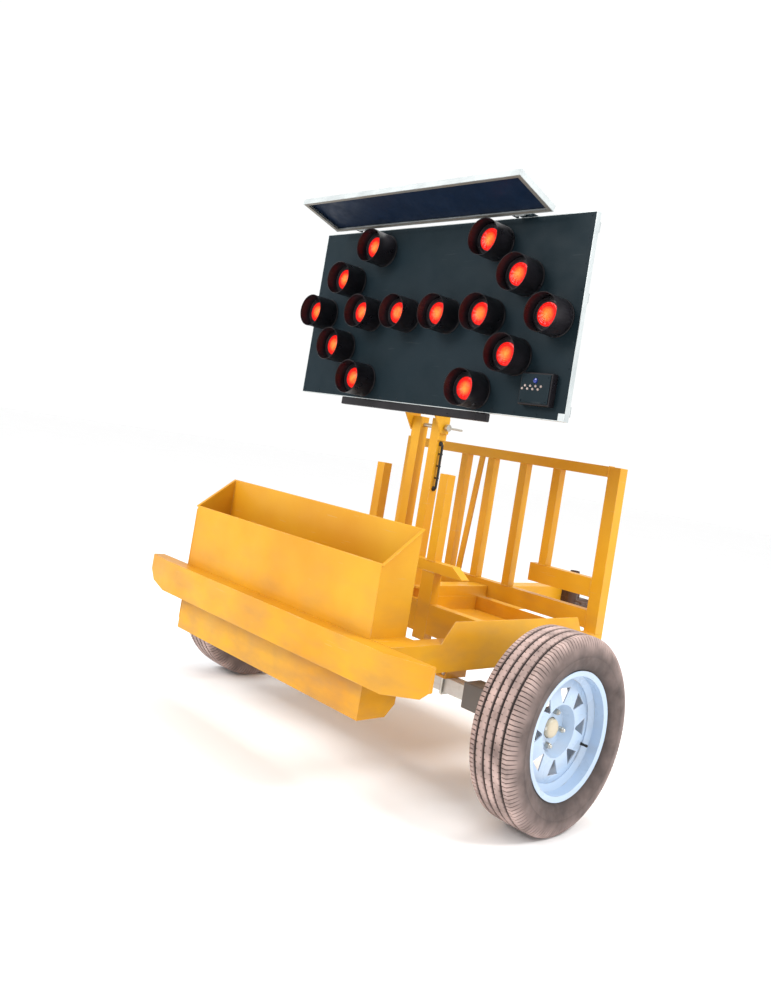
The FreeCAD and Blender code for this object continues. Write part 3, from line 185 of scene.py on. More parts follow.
def moulded(name, color, shade, rough=0.5, grain=300, coat=0.0, specular=0.5):
    """Moulded plastic or rubber with a fine grain and a greyed bloom."""
    mat, tree, shader = material(name, color, rough, 0.0, coat, specular)
    bloom = ramp(tree, noise(tree, 12, 7), 0.4, 0.72)
    tone = mix(tree, bloom, color, shade)
    rubbed = ramp(tree, noise(tree, 40, 5), 0.4, 0.6, 0, 0.6)
    tone = mix(tree, times(tree, edge_mask(tree, 0.002), rubbed), tone, shade)
    tree.links.new(tone, shader.inputs["Base Color"])
    sheen = ramp(tree, noise(tree, 22, 6), 0.3, 0.7, rough - 0.1, rough + 0.15)
    tree.links.new(sheen, shader.inputs["Roughness"])
    bump(tree, shader, noise(tree, grain, 3), 0.2, 0.0004)
    return mat


def attribute(tree, name):
    """A value stored on the mesh's points."""
    node = tree.nodes.new("ShaderNodeAttribute")
    node.attribute_name = name
    return node.outputs["Fac"]


PAINT = painted("safety_paint", (0.71, 0.355, 0.014), (0.63, 0.27, 0.008), (0.62, 0.38, 0.13), 0.42, 0.08,
                (0.30, 0.16, 0.07), 0.35, 0.28)
RIM_PAINT = painted("rim_paint", (0.47, 0.60, 0.77), (0.40, 0.52, 0.68), (0.36, 0.36, 0.36), 0.3, 0.4,
                    (0.40, 0.36, 0.32), 0.2)
CAP_PAINT = painted("cap_paint", (0.70, 0.62, 0.46), (0.58, 0.50, 0.36), (0.3, 0.27, 0.22), 0.4, 0.2)
PANEL = painted("panel_paint", (0.0065, 0.0150, 0.0200), (0.0090, 0.0190, 0.0260), (0.030, 0.040, 0.046),
                0.5, 0.0, (0.03, 0.035, 0.035), 0.05, 0.12)
DARK_STEEL = painted("dark_steel", (0.045, 0.022, 0.014), (0.085, 0.040, 0.024), (0.16, 0.09, 0.05),
                     0.5, 0.05, (0.12, 0.07, 0.05), 0.3, 0.3)
GREY_STEEL = painted("grey_steel", (0.13, 0.13, 0.125), (0.19, 0.18, 0.17), (0.28, 0.26, 0.24), 0.5, 0.05,
                     (0.20, 0.18, 0.16), 0.2, 0.3)
GALVANISED = brushed("galvanised", (0.66, 0.66, 0.64), 0.5, (1, 6, 6), 0.6)
ZINC = brushed("zinc_plate", (0.60, 0.58, 0.52), 0.34, (8, 8, 1))
ALLOY = brushed("trim_alloy", (0.60, 0.64, 0.64), 0.40, (1, 14, 14), 0.5, (0.42, 0.46, 0.47))
LAMP_BLACK = moulded("lamp_black", (0.007, 0.006, 0.008), (0.016, 0.014, 0.017), 0.34, 260, 0.1, 0.25)
RUBBER = moulded("black_rubber", (0.010, 0.010, 0.010), (0.030, 0.028, 0.025), 0.62, 500, 0.0, 0.3)
CABLE = moulded("cable_sheath", (0.010, 0.009, 0.009), (0.03, 0.028, 0.026), 0.5, 600, 0.0, 0.3)
PEG = moulded("switch_peg", (0.46, 0.37, 0.34), (0.30, 0.24, 0.22), 0.45, 200, 0.0, 0.2)
BATTERY = moulded("battery_case", (0.02, 0.02, 0.024), (0.05, 0.05, 0.05), 0.45, 300)
BACKSHEET = moulded("solar_backsheet", (0.0055, 0.0135, 0.0330), (0.0080, 0.0180, 0.0420), 0.45, 200, 0.0,
                    0.12)
# Dark grey for the frame's folded return: painted shade on the frame metal under the panel.
FLANGE_PAINTED_SHADE = brushed("solar_flange_painted_shade", (0.20, 0.19, 0.17), 0.5, (1, 14, 14), 0.3)


def tyre_material():
    """Tread rubber dulled by dust, darker on its walls, with its grooves and cuts darkened as painted shade.
    """
    mat, tree, shader = material("tyre_rubber", (0.03, 0.026, 0.024), 0.8)
    # The stored value is dust on the tread and painted shade in the grooves and cuts.
    dust = times(tree, attribute(tree, "dust_and_groove_shade"), ramp(tree, noise(tree, 18, 8), 0.25, 0.7, 0.35, 1.0))
    tone = mix(tree, dust, (0.017, 0.012, 0.011), (0.560, 0.410, 0.370))
    tree.links.new(tone, shader.inputs["Base Color"])
    tree.links.new(ramp(tree, noise(tree, 50, 5), 0.3, 0.7, 0.68, 0.92), shader.inputs["Roughness"])
    bump(tree, shader, noise(tree, 380, 4), 0.35, 0.0006)
    return mat


def lens_material():
    """Red lens, lit from behind and hotter in the middle."""
    mat, tree, shader = material("lens_red", (0.60, 0.010, 0.006), 0.26, 0.0, 0.0, 0.25)
    core = attribute(tree, "core")
    flicker = ramp(tree, noise(tree, 60, 3), 0.3, 0.7, 0.55, 1.15)
    tone = mix(tree, times(tree, core, flicker), (0.62, 0.006, 0.003), (1.0, 0.19, 0.022))
    tree.links.new(tone, shader.inputs["Base Color"])
    tree.links.new(tone, shader.inputs["Emission Color"])
    shader.inputs["Emission Strength"].default_value = 0.7
    bump(tree, shader, noise(tree, 240, 2), 0.15, 0.0005)
    return mat


def pilot_material():
    """Unlit blue dome of the pilot lamp."""
    mat, tree, shader = material("pilot_blue", (0.01, 0.05, 0.6), 0.2, 0.0, 0.5)
    tone = mix(tree, ramp(tree, noise(tree, 90, 3), 0.35, 0.65), (0.004, 0.012, 0.13), (0.006, 0.025, 0.26))
    tree.links.new(tone, shader.inputs["Base Color"])
    return mat


def solar_material():
    """Blue-black cells with a faint crystal mottling under a clear coat."""
    mat, tree, shader = material("solar_cells", (0.006, 0.010, 0.04), 0.12, 0.0, 1.0)
    mottle = ramp(tree, noise(tree, 35, 2, rough=0.2), 0.35, 0.65)
    tone = mix(tree, mottle, (0.005, 0.009, 0.035), (0.012, 0.022, 0.075))
    tree.links.new(tone, shader.inputs["Base Color"])
    tree.links.new(ramp(tree, noise(tree, 9, 5), 0.3, 0.7, 0.08, 0.2), shader.inputs["Roughness"])
    return mat


TYRE = tyre_material()
LENS = lens_material()
PILOT = pilot_material()
CELLS = solar_material()
SLOTS = {
    "body_paint": PAINT, "galvanised": GALVANISED, "dark_steel": DARK_STEEL, "zinc_steel": ZINC,
    "tyre_rubber": TYRE, "rim_paint": RIM_PAINT, "cap_paint": CAP_PAINT, "panel_black": PANEL,
    "trim_alloy": ALLOY, "lamp_black": LAMP_BLACK, "lens_red": LENS, "pilot_blue": PILOT,
    "solar_face": CELLS, "battery_case": BATTERY, "cable_sheath": CABLE,
}
SLOT_OF = {item["node"]: item["material_slot"] for item in frame["record"]["subparts"]}
FINISH_OF = {"axle_blocks": GREY_STEEL, "prop_leg": DARK_STEEL, "board_back_frame": ALLOY}
BODY_OF = {name: body for body, names in frame["record"]["behaviour"]["bodies"].items() for name in names}


# ------------------------------------------------------------------ mesh tools
def sharpen(bm, angle=32):
    """Smooth faces, with the edges over the angle kept hard."""
    for face in bm.faces:
        face.smooth = True
    for edge in bm.edges:
        if len(edge.link_faces) == 2 and edge.calc_face_angle(0) > math.radians(angle):
            edge.smooth = False


def piece(name, bm, mat, body, bevel=0.0):
    """Turn a mesh into a finished piece that rides on a body."""
    bmesh.ops.recalc_face_normals(bm, faces=bm.faces)
    sharpen(bm)
    mesh = bpy.data.meshes.new(name)
    bm.to_mesh(mesh)
    bm.free()
    mesh.materials.append(mat)
    obj = bpy.data.objects.new(name, mesh)
    bpy.context.scene.collection.objects.link(obj)
    if bevel:
        add_bevel(obj, bevel)
    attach(obj, body)
    return obj


def add_bevel(obj, width):
    """Rounded hard edges, as a modifier."""
    mod = obj.modifiers.new("edges", "BEVEL")
    mod.width = width
    mod.segments = 2
    mod.limit_method = "ANGLE"
    mod.angle_limit = math.radians(38)
    mod.harden_normals = True


def add_box(bm, low, high):
    """A box between two corners."""
    size = Vector(high) - Vector(low)
    centre = (Vector(high) + Vector(low)) / 2
    place = Matrix.Translation(centre) @ Matrix.Diagonal((*size, 1))
    bmesh.ops.create_cube(bm, size=1, matrix=place)


def frame_on(point, way):
    """A place whose Z points one way."""
    return Matrix.Translation(Vector(point)) @ Vector(way).to_track_quat("Z", "Y").to_matrix().to_4x4()


def add_lathe(bm, profile, point, way, count=48, closed=False):
    """Turn a radius and height profile about an axis; the ends on the axis are closed."""
    place = frame_on(point, way)
    rings = []
    for radius, height in profile:
        if radius < 1e-7:
            rings.append([bm.verts.new(place @ Vector((0, 0, height)))])
            continue
        ring = []
        for index in range(count):
            turn = 2 * math.pi * index / count
            spot = Vector((radius * math.cos(turn), radius * math.sin(turn), height))
            ring.append(bm.verts.new(place @ spot))
        rings.append(ring)
    pairs = list(zip(rings, rings[1:]))
    if closed:
        pairs.append((rings[-1], rings[0]))
    for first, second in pairs:
        for index in range(count):
            after = (index + 1) % count
            corners = [first[index % len(first)], first[after % len(first)],
                       second[after % len(second)], second[index % len(second)]]
            unique = list(dict.fromkeys(corners))
            if len(unique) > 2:
                bm.faces.new(unique)
    return rings


def add_bolt(bm, point, way, size=0.010, washer=True):
    """A hexagon head with its chamfer, on a washer."""
    base = 0.0
    if washer:
        thick = size * 0.14
        add_lathe(bm, [(0, 0), (size * 1.05, 0), (size * 1.05, thick), (0, thick)], point, way, 24)
        base = thick
    profile = [(0, base), (size * 0.86, base), (size * 0.86, base + size * 0.62),
               (size * 0.72, base + size * 0.70), (0, base + size * 0.70)]
    add_lathe(bm, profile, point, way, 6)


def add_weld(bm, start, end, radius=0.0028, pitch=0.0032):
    """A rippled weld bead along a line."""
    start = Vector(start)
    way = Vector(end) - start
    steps = max(4, int(way.length / pitch * 3))
    profile = [(0, 0)]
    for index in range(1, steps):
        ripple = 0.82 + 0.18 * abs(math.sin(math.pi * index / 3 + 0.4))
        profile.append((radius * ripple, way.length * index / steps))
    profile.append((0, way.length))
    add_lathe(bm, profile, start, way, 8)


def refined(node, width):
    """A copy of a CAD node with its hard edges rounded, in the node's finish."""
    bm = bmesh.new()
    bm.from_mesh(frame["nodes"][node].data)
    bmesh.ops.remove_doubles(bm, verts=bm.verts, dist=1e-6)
    bmesh.ops.dissolve_limit(bm, angle_limit=math.radians(1), verts=bm.verts, edges=bm.edges)
    slot = SLOT_OF[node]
    obj = piece(node + "_finished", bm, FINISH_OF.get(node, SLOTS[slot]), BODY_OF[node], width)
    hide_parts(node)


# ------------------------------------------------------------------ CAD nodes
for name in SLOT_OF:
    target = frame["nodes"][name]
    target.data.materials.clear()
    target.data.materials.append(SLOTS[SLOT_OF[name]])

for name, width in {
    "rear_beam": 1.2, "bin": 1.0, "side_member_right": 1.2, "side_member_left": 1.2, "deck_plate": 0.6,
    "axle_cross_member": 1.0, "cross_tubes": 1.0, "trays": 0.9, "drawbar": 1.6, "portal_frame": 1.0,
    "sign_sockets": 1.0, "mast": 1.0, "rack_posts": 1.2, "rack_rails": 1.0, "rack_bars": 1.0,
    "rack_stub_rail": 1.0, "axle_tube": 2.0, "axle_blocks": 3.0, "axle_saddles": 0.8,
    "board_back_frame": 1.0, "lower_bar": 4.0,
    "board_brackets": 0.8, "control_box": 3.0, "solar_straps": 0.8, "battery_box": 0.9, "battery_lid": 0.9,
    "coupling_head": 2.5, "coupling_handle": 2.0, "battery": 3.0,
}.items():
    refined(name, width * MM)


# ------------------------------------------------------------------ wheels
def tyre_section():
    """Half-width offsets with radius, dust level (low in the grooves as painted shade) and tread zone, from
    one bead round to the other.
    """
    wall = [
        (-0.0600, 0.184, 0.05, "wall"),
        (-0.0665, 0.1965, 0.08, "wall"),
        (-0.0760, 0.204, 0.15, "wall"),
        (-0.0830, 0.222, 0.22, "wall"),
        (-0.0865, 0.240, 0.25, "wall"),
        (-0.0862, 0.2405, 0.2, "wall"),
        (-0.0865, 0.250, 0.3, "wall"),
        (-0.0835, 0.268, 0.45, "wall"),
        (-0.0785, 0.282, 0.7, "shoulder"),
        (-0.0715, 0.2925, 0.9, "shoulder"),
    ]
    grooves = (-0.0465, -0.0155, 0.0155, 0.0465)
    section = list(wall)
    across = -0.066
    while across < 0.0661:
        drop = 0.0022 * (abs(across) / 0.066) ** 2.4
        gap = min(abs(across - middle) for middle in grooves)
        zone = "rib"
        if abs(across) > 0.0515:
            zone = "shoulder"
        elif gap < 0.0046:
            zone = "wall"
        elif gap < 0.0095:
            zone = "tick"
        sunk = gap < 0.0040
        # Sunk groove floors get almost no dust: painted shade in the grooves.
        section.append((across, 0.3003 - drop - 0.0065 * sunk, 0.03 if sunk else 1.0, zone))
        across += 0.00165
    section += [(-offset, radius, dust_and_groove_shade, zone) for offset, radius, dust_and_groove_shade, zone in reversed(wall)]
    return section


def tyre(side, name):
    """Tyre with four grooves, ticked ribs, cross-cut shoulders and lined walls."""
    count = 960
    section = tyre_section()
    bm = bmesh.new()
    layer = bm.verts.layers.float.new("dust_and_groove_shade")
    columns = []
    for index in range(count):
        turn = 2 * math.pi * index / count
        cuts = {"shoulder": 0.0040 * (index % 7 == 0), "tick": 0.0022 * (index % 10 == 0)}
        column = []
        for offset, radius, dust_and_groove_shade, zone in section:
            depth = cuts.get(zone, 0.0)
            reach = radius - depth
            back = AXLE_Y + reach * math.cos(turn)
            vert = bm.verts.new((side * (WHEEL_X + offset), back, AXLE_Z + reach * math.sin(turn)))
            # Cut sipes and ticks get a low value too: painted shade in the cuts.
            vert[layer] = 0.05 if depth else dust_and_groove_shade
            column.append(vert)
        columns.append(column)
    for index in range(count):
        here = columns[index]
        there = columns[(index + 1) % count]
        for row in range(len(section) - 1):
            bm.faces.new((here[row], here[row + 1], there[row + 1], there[row]))
        bm.faces.new((here[-1], here[0], there[0], there[-1]))
    obj = piece("tyre_%s_tread" % name, bm, TYRE, "wheel_" + name)
    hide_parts("tyre_" + name)


def wheel_details(side, name):
    """Pressed rim, domed cap, valve and domed nuts."""
    body = "wheel_" + name
    refined("rim_" + name, 1.0 * MM)
    refined("hub_" + name, 1.5 * MM)
    refined("wheel_nuts_" + name, 1.4 * MM)
    out = (side, 0, 0)
    foot, top = [abs(corner[0]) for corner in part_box("hub_cap_" + name)]
    foot, top = min(foot, top), max(foot, top)
    tall = top - foot
    bm = bmesh.new()
    add_lathe(bm, [
        (0, tall), (0.0120, tall - 0.0002), (0.0200, tall - 0.0008), (0.0250, tall - 0.0026),
        (0.0285, tall - 0.0060), (0.0296, tall - 0.0100), (0.0300, 0.0050), (0.0300, 0), (0, 0)],
        (side * foot, AXLE_Y, AXLE_Z), out, 64)
    cap = piece("hub_cap_%s_dome" % name, bm, CAP_PAINT, body)
    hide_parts("hub_cap_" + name)
    bm = bmesh.new()
    valve = Vector((side * 0.812, AXLE_Y + 0.135, AXLE_Z - 0.054))
    add_lathe(bm, [
        (0, -0.006), (0.0050, -0.006), (0.0042, 0.004), (0.0036, 0.014), (0.0042, 0.0150), (0.0042, 0.0210),
        (0.0030, 0.0225), (0, 0.0225)], valve, out, 20)
    piece("valve_" + name, bm, RUBBER, body)
    nuts = max(abs(corner[0]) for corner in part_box("wheel_nuts_" + name))
    bm = bmesh.new()
    for index in range(4):
        turn = math.radians(FIRST_NUT + 90 * index)
        back = AXLE_Y + NUT_CIRCLE * math.cos(turn)
        centre = (side * nuts, back, AXLE_Z + NUT_CIRCLE * math.sin(turn))
        rivet = [(0, -0.001), (0.0068, -0.001), (0.0064, 0.0025), (0.0044, 0.0050), (0, 0.0062)]
        add_lathe(bm, rivet, centre, out, 20)
    piece("nut_domes_" + name, bm, ZINC, body)


for side, name in ((1, "right"), (-1, "left")):
    tyre(side, name)
    wheel_details(side, name)


# ------------------------------------------------------------------ lamps
def lamp_places():
    """Centres of the fourteen lamps of the double arrow."""
    places = []
    for side in (-1, 1):
        for across in (0.585, 0.1026, 0.3044):
            places.append((side * across, LAMP_Z))
        for rise in (-1, 1):
            places.append((side * 0.443, LAMP_Z + rise * 0.134))
            places.append((side * 0.2915, LAMP_Z + rise * 0.259))
    return places


def lamps():
    """Hoods with a rolled rim and a fixing flange, ringed bodies, ribbed lenses and screws."""
    hoods, bodies, lenses, screws = bmesh.new(), bmesh.new(), bmesh.new(), bmesh.new()
    core = lenses.verts.layers.float.new("core")
    for across, up in lamp_places():
        at = (across, FACE_Y, up)
        out = (0, -1, 0)
        add_lathe(hoods, [
            (0.0640, 0.0005), (0.0648, 0.0005), (0.0648, 0.0045), (0.0634, 0.0058), (0.0634, 0.0150),
            (0.0642, 0.0165), (0.0642, 0.0930), (0.0650, 0.0945), (0.0650, 0.0972), (0.0640, 0.0980),
            (0.0630, 0.0972), (0.0628, 0.0940), (0.0622, 0.0915), (0.0622, 0.0005)], at, out, 72, closed=True)
        add_lathe(bodies, [
            (0.0618, 0.0008), (0.0618, 0.0500), (0.0600, 0.0535), (0.0560, 0.0550), (0.0545, 0.0530),
            (0.0500, 0.0530), (0.0485, 0.0555), (0.0440, 0.0560), (0.0420, 0.0540), (0.0396, 0.0540),
            (0.0396, 0.0500), (0, 0.0500)], at, out, 64)
        rings = [(0.0394, 0.0505)]
        for step in range(13, -1, -1):
            radius = 0.0394 * step / 13
            rise = 0.0560 + 0.0045 * (1 - (radius / 0.0394) ** 2)
            rings.append((radius, rise + (0.0010 if step % 2 else 0.0)))
        made = add_lathe(lenses, rings, at, out, 48)
        for ring, (radius, height) in zip(made, rings):
            for index, vert in enumerate(ring):
                vert[core] = max(0.0, 1 - (radius / 0.027) ** 1.6)
                vert.co.y -= 0.0007 * (index % 4 > 1) * (0.004 < radius < 0.037)
        for turn in range(3):
            angle = math.radians(90 + 120 * turn)
            point = (across + 0.0522 * math.cos(angle), FACE_Y - 0.0530, up + 0.0522 * math.sin(angle))
            crown = [(0, 0), (0.0030, 0), (0.0028, 0.0012), (0.0016, 0.0020), (0, 0.0021)]
            add_lathe(screws, crown, point, out, 14)
    hood = piece("lamp_hoods_rolled", hoods, LAMP_BLACK, "board")
    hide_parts("lamp_hoods")
    body = piece("lamp_bodies_ringed", bodies, LAMP_BLACK, "board")
    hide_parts("lamp_bodies")
    lens = piece("lamp_lenses_ribbed", lenses, LENS, "board")
    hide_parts("lamp_lenses")
    piece("lamp_screws", screws, LAMP_BLACK, "board")


# ------------------------------------------------------------------ sign board
def board():
    """Folded face with rounded edges, a pale edge trim, rivets and a corner guard."""
    refined("board_panel", 1.2 * MM)
    refined("board_trim", 1.0 * MM)
    refined("board_corner_guard", 1.2 * MM)
    low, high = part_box("board_trim")
    places = []
    for index in range(15):
        across = low[0] + 0.018 + (high[0] - low[0] - 0.036) * index / 14
        places += [(across, low[2] + 0.014), (across, high[2] - 0.014)]
    for index in range(1, 8):
        up = low[2] + (high[2] - low[2]) * index / 8
        places += [(low[0] + 0.014, up), (high[0] - 0.014, up)]
    bm = bmesh.new()
    head = [(0, 0), (0.0036, 0), (0.0031, 0.0012), (0.0016, 0.0019), (0, 0.0021)]
    for across, up in places:
        add_lathe(bm, head, (across, FACE_Y, up), (0, -1, 0), 16)
    piece("board_rivets", bm, PANEL, "board")


def control_details():
    """Screwed lid, a zigzag row of pegs, a lower edge bar and the pilot lamp dome."""
    low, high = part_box("control_box")
    front = low[1]
    out = (0, -1, 0)
    bm = bmesh.new()
    lid_low = (low[0] + 0.006, front - 0.0035, low[2] + 0.006)
    add_box(bm, lid_low, (high[0] - 0.006, front + 0.001, high[2] - 0.006))
    for across in (low[0] + 0.014, high[0] - 0.014):
        for up in (low[2] + 0.014, high[2] - 0.014):
            add_bolt(bm, (across, front - 0.0035, up), out, 0.0032, False)
    bar_low = (low[0] + 0.010, front - 0.0050, low[2] + 0.0085)
    add_box(bm, bar_low, (high[0] - 0.022, front - 0.0030, low[2] + 0.0110))
    piece("control_lid", bm, PANEL, "board", 0.0010)
    bm = bmesh.new()
    for index in range(8):
        point = (low[0] + 0.014 + 0.0105 * index, front - 0.0034, low[2] + 0.052 + 0.010 * (index % 2))
        add_lathe(bm, [(0, 0), (0.0042, 0), (0.0040, 0.0020), (0.0026, 0.0036), (0, 0.0040)], point, out, 16)
    piece("control_pegs", bm, PEG, "board")
    bm = bmesh.new()
    centre = Vector(((low[0] + high[0]) / 2, front, high[2] - 0.027))
    dome = [(0, 0.0), (0.0086, 0.0), (0.0086, 0.0045), (0.0074, 0.0068), (0.0045, 0.0079), (0, 0.0082)]
    add_lathe(bm, dome, centre, out, 28)
    lamp = piece("pilot_dome", bm, PILOT, "board")
    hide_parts("pilot_lamp")


def frame_caps():
    """Pressed caps in the open ends of the three rails behind the board."""
    low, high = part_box("board_back_frame")
    inset = 0.0035
    thick = 0.004
    tube = 0.035
    bm = bmesh.new()
    for level in (1.2450, 1.6155, 1.8490):
        for start in (low[0] + 0.0005, high[0] - 0.0005 - thick):
            cap_low = (start, low[1] + inset, level + inset)
            add_box(bm, cap_low, (start + thick, high[1] - inset, level + tube - inset))
    piece("frame_caps", bm, ALLOY, "board", 0.0005)


# ------------------------------------------------------------------ solar panel
def solar():
    """Backing sheet with its cells and bus bars, the frame and its folded return, the return in a dark grey
    that paints the shade under the panel.
    """
    refined("solar_frame", 0.9 * MM)
    slope = Matrix.Translation((0, AXLE_Y - 0.072, 1.900)) @ Matrix.Rotation(math.radians(-16.6), 4, "X")
    near, far = -0.211, -0.009
    half = 0.545
    columns, rows = 16, 3
    wide = (2 * half - 0.030) / columns
    deep = (far - near - 0.026) / rows
    sheet, cells, bars, flange = bmesh.new(), bmesh.new(), bmesh.new(), bmesh.new()
    add_box(sheet, (-half + 0.003, near + 0.003, 0.0042), (half - 0.003, far - 0.003, 0.0088))
    for row in range(rows):
        back = near + 0.013 + row * deep
        for column in range(columns):
            left = -half + 0.015 + column * wide
            corner = (left + wide - 0.001, back + deep - 0.001, 0.0092)
            add_box(cells, (left + 0.001, back + 0.001, 0.0088), corner)
        for part in (0.3, 0.7):
            level = back + part * deep
            add_box(bars, (-half + 0.015, level - 0.0006, 0.0092), (half - 0.015, level + 0.0006, 0.0095))
    left, right = -half + 0.003, half - 0.003
    lip = 0.014
    for low, high in (
            ((left, near + 0.003), (right, near + lip)), ((left, far - lip), (right, far - 0.003)),
            ((left, near + lip), (left + lip, far - lip)), ((right - lip, near + lip), (right, far - lip))):
        add_box(flange, (*low, -0.0108), (*high, -0.0092))
    for bm in (sheet, cells, bars, flange):
        bmesh.ops.transform(bm, matrix=slope, verts=bm.verts)
    glass = piece("solar_glass_sheet", sheet, BACKSHEET, "solar", 0.0004)
    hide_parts("solar_panel")
    piece("solar_cells_grid", cells, CELLS, "solar")
    piece("solar_bus_bars", bars, ALLOY, "solar")
    # Return flange in its painted-shade grey.
    piece("solar_return_flange", flange, FLANGE_PAINTED_SHADE, "solar")


# ------------------------------------------------------------------ chassis details
def welds():
    """Weld beads where the tubes and plates meet."""
    rack_x, rack_rear, rack_front = 0.508, 0.155, 0.195
    rack_top, top_upper, rack_foot, foot_lower = 1.078, 1.118, 0.582, 0.516
    portal_rear, portal_front, shelf_z = -0.358, -0.318, 0.642
    socket_x, socket_foot = 0.167, 0.680
    mast_foot = 0.568
    inset, half_bar = 0.002, 0.016
    bm = bmesh.new()
    for side in (-1, 1):
        inner = side * rack_x
        for up in (rack_top, top_upper, rack_foot, foot_lower):
            add_weld(bm, (inner, rack_rear + inset, up), (inner, rack_front - inset, up))
        for back in (rack_rear, rack_front):
            add_weld(bm, (inner, back, rack_top + inset), (inner, back, top_upper - inset))
            add_weld(bm, (inner, back, foot_lower + inset), (inner, back, rack_foot - inset))
        add_weld(bm, (side * 0.512, rack_rear, 0.503), (side * 0.554, rack_rear, 0.503))
        socket = side * socket_x
        for back in (portal_rear, portal_front):
            add_weld(bm, (socket - 0.018, back, socket_foot), (socket + 0.018, back, socket_foot))
        add_weld(bm, (socket - 0.028, portal_rear, shelf_z), (socket + 0.028, portal_rear, shelf_z))
        for across in (side * 0.147, side * 0.187):
            start = (across, portal_rear + inset, socket_foot)
            add_weld(bm, start, (across, portal_front - inset, socket_foot))
        for across in (side * 0.028, side * 0.068):
            add_weld(bm, (across, -0.316, mast_foot), (across, -0.280, mast_foot))
        add_weld(bm, (side * 0.498, portal_rear + inset, 0.530), (side * 0.498, portal_front - inset, 0.530))
        add_weld(bm, (side * 0.035, -0.310, 0.4655), (side * 0.035, 0.085, 0.4655), 0.0022)
    bars = (-0.200, -0.052, 0.117, 0.280)
    for across in bars[:3]:
        add_weld(bm, (across - half_bar, rack_rear, rack_foot), (across + half_bar, rack_rear, rack_foot))
    for across in bars:
        add_weld(bm, (across - half_bar, rack_rear, rack_top), (across + half_bar, rack_rear, rack_top))
    add_weld(bm, (bars[3] - half_bar, rack_rear, 0.700), (bars[3] + half_bar, rack_rear, 0.700))
    add_weld(bm, (rack_x, rack_rear, 0.632), (rack_x, rack_rear, 0.698))
    for across in (-0.554, 0.466):
        add_weld(bm, (across, -0.888, 0.300), (across, -0.888, 0.710), 0.0018, 0.004)
    piece("weld_beads", bm, PAINT, "chassis")


def fasteners():
    """Bolts, U-bolt nuts and pivot hardware."""
    refined("frame_bolts", 0.8 * MM)
    refined("clamp_lever", 0.8 * MM)
    refined("pivot_bolt", 0.8 * MM)
    bm = bmesh.new()
    for side in (-1, 1):
        for back in (-0.030, 0.030):
            add_bolt(bm, (side * 0.355, AXLE_Y + back, AXLE_Z + 0.033), (0, 0, 1), 0.0085)
        add_bolt(bm, (side * 0.060, -0.250, 0.568), (0, 0, 1), 0.009)
    add_bolt(bm, (-0.0868, AXLE_Y + 0.08, PIVOT_Z), (-1, 0, 0), 0.011)
    piece("chassis_bolts", bm, ZINC, "chassis", 0.0004)
    bm = bmesh.new()
    for side in (-1, 1):
        for up in (1.262, 1.300, 1.395):
            add_bolt(bm, (side * 0.0804, -0.358, up), (side, 0, 0), 0.0075)
        for across in (-0.02, 0.02):
            add_bolt(bm, (side * 0.4 + across, -0.362, 1.908), (0, 0, 1), 0.0055)
    piece("board_bolts", bm, ZINC, "board", 0.0004)


def stand_and_coupling():
    """Screw thread and bar tips on the prop stand, and the grip on the coupling handle."""
    for name in ("prop_sleeve", "prop_leg", "prop_clamp_screw"):
        refined(name, 1.0 * MM)
    bm = bmesh.new()
    for index in range(16):
        start = 0.1025 + 0.0028 * index
        turn = [(0.0050, 0), (0.00575, 0.0008), (0.0050, 0.0016)]
        add_lathe(bm, turn, (start, SCREW_Y, SCREW_Z), (1, 0, 0), 20)
    for end in (-1, 1):
        tip = (0.152, SCREW_Y + end * 0.035, SCREW_Z)
        ferrule = [(0, -0.006), (0.0062, -0.006), (0.0068, 0), (0.0050, 0.004), (0, 0.005)]
        add_lathe(bm, ferrule, tip, (0, end, 0), 20)
    piece("screw_thread", bm, DARK_STEEL, "screw")
    bm = bmesh.new()
    add_box(bm, (-0.013, 0.7465, 0.5585), (0.013, 0.775, 0.5830))
    piece("handle_grip", bm, RUBBER, "handle", 0.003)


def cables():
    """Mast cable with its glands and clips."""
    curve = bpy.data.curves.new("mast_lead", "CURVE")
    curve.dimensions = "3D"
    curve.bevel_depth = 0.0048
    curve.bevel_resolution = 4
    spline = curve.splines.new("NURBS")
    route = [
        (0.068, MAST_Y, 0.929), (0.0790, MAST_Y, 0.930), (0.0800, MAST_Y, 0.948), (0.0800, -0.2975, 0.99),
        (0.0795, -0.2985, 1.04), (0.0800, MAST_Y, 1.080), (0.0790, MAST_Y, 1.098), (0.068, MAST_Y, 1.099),
    ]
    spline.points.add(len(route) - 1)
    for point, place in zip(spline.points, route):
        point.co = (*place, 1)
    spline.order_u = 3
    spline.use_endpoint_u = True
    curve.materials.append(CABLE)
    lead = bpy.data.objects.new("mast_lead", curve)
    bpy.context.scene.collection.objects.link(lead)
    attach(lead, "chassis")
    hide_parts("mast_cable")
    bm = bmesh.new()
    gland = [(0, 0), (0.010, 0), (0.010, 0.004), (0.0085, 0.005), (0.0078, 0.007), (0.0060, 0.0085),
             (0, 0.0085)]
    for up in (0.930, 1.098):
        add_lathe(bm, gland, (0.068, MAST_Y, up), (1, 0, 0), 6)
    ring = [(0.0048, -0.003), (0.0060, -0.003), (0.0064, 0), (0.0060, 0.003), (0.0048, 0.003)]
    for up in (0.970, 1.015, 1.060):
        add_lathe(bm, ring, (0.0798, MAST_Y, up), (0, 0, 1), 24, closed=True)
        add_box(bm, (0.0678, -0.3005, up - 0.003), (0.0752, -0.2955, up + 0.003))
    piece("cable_clips", bm, CABLE, "chassis", 0.0003)


board()
lamps()
control_details()
frame_caps()
solar()
welds()
fasteners()
stand_and_coupling()
cables()
for name in ("spindles", "bearings_right", "bearings_left", "solar_pins", "board_rests"):
    refined(name, 0.8 * MM)


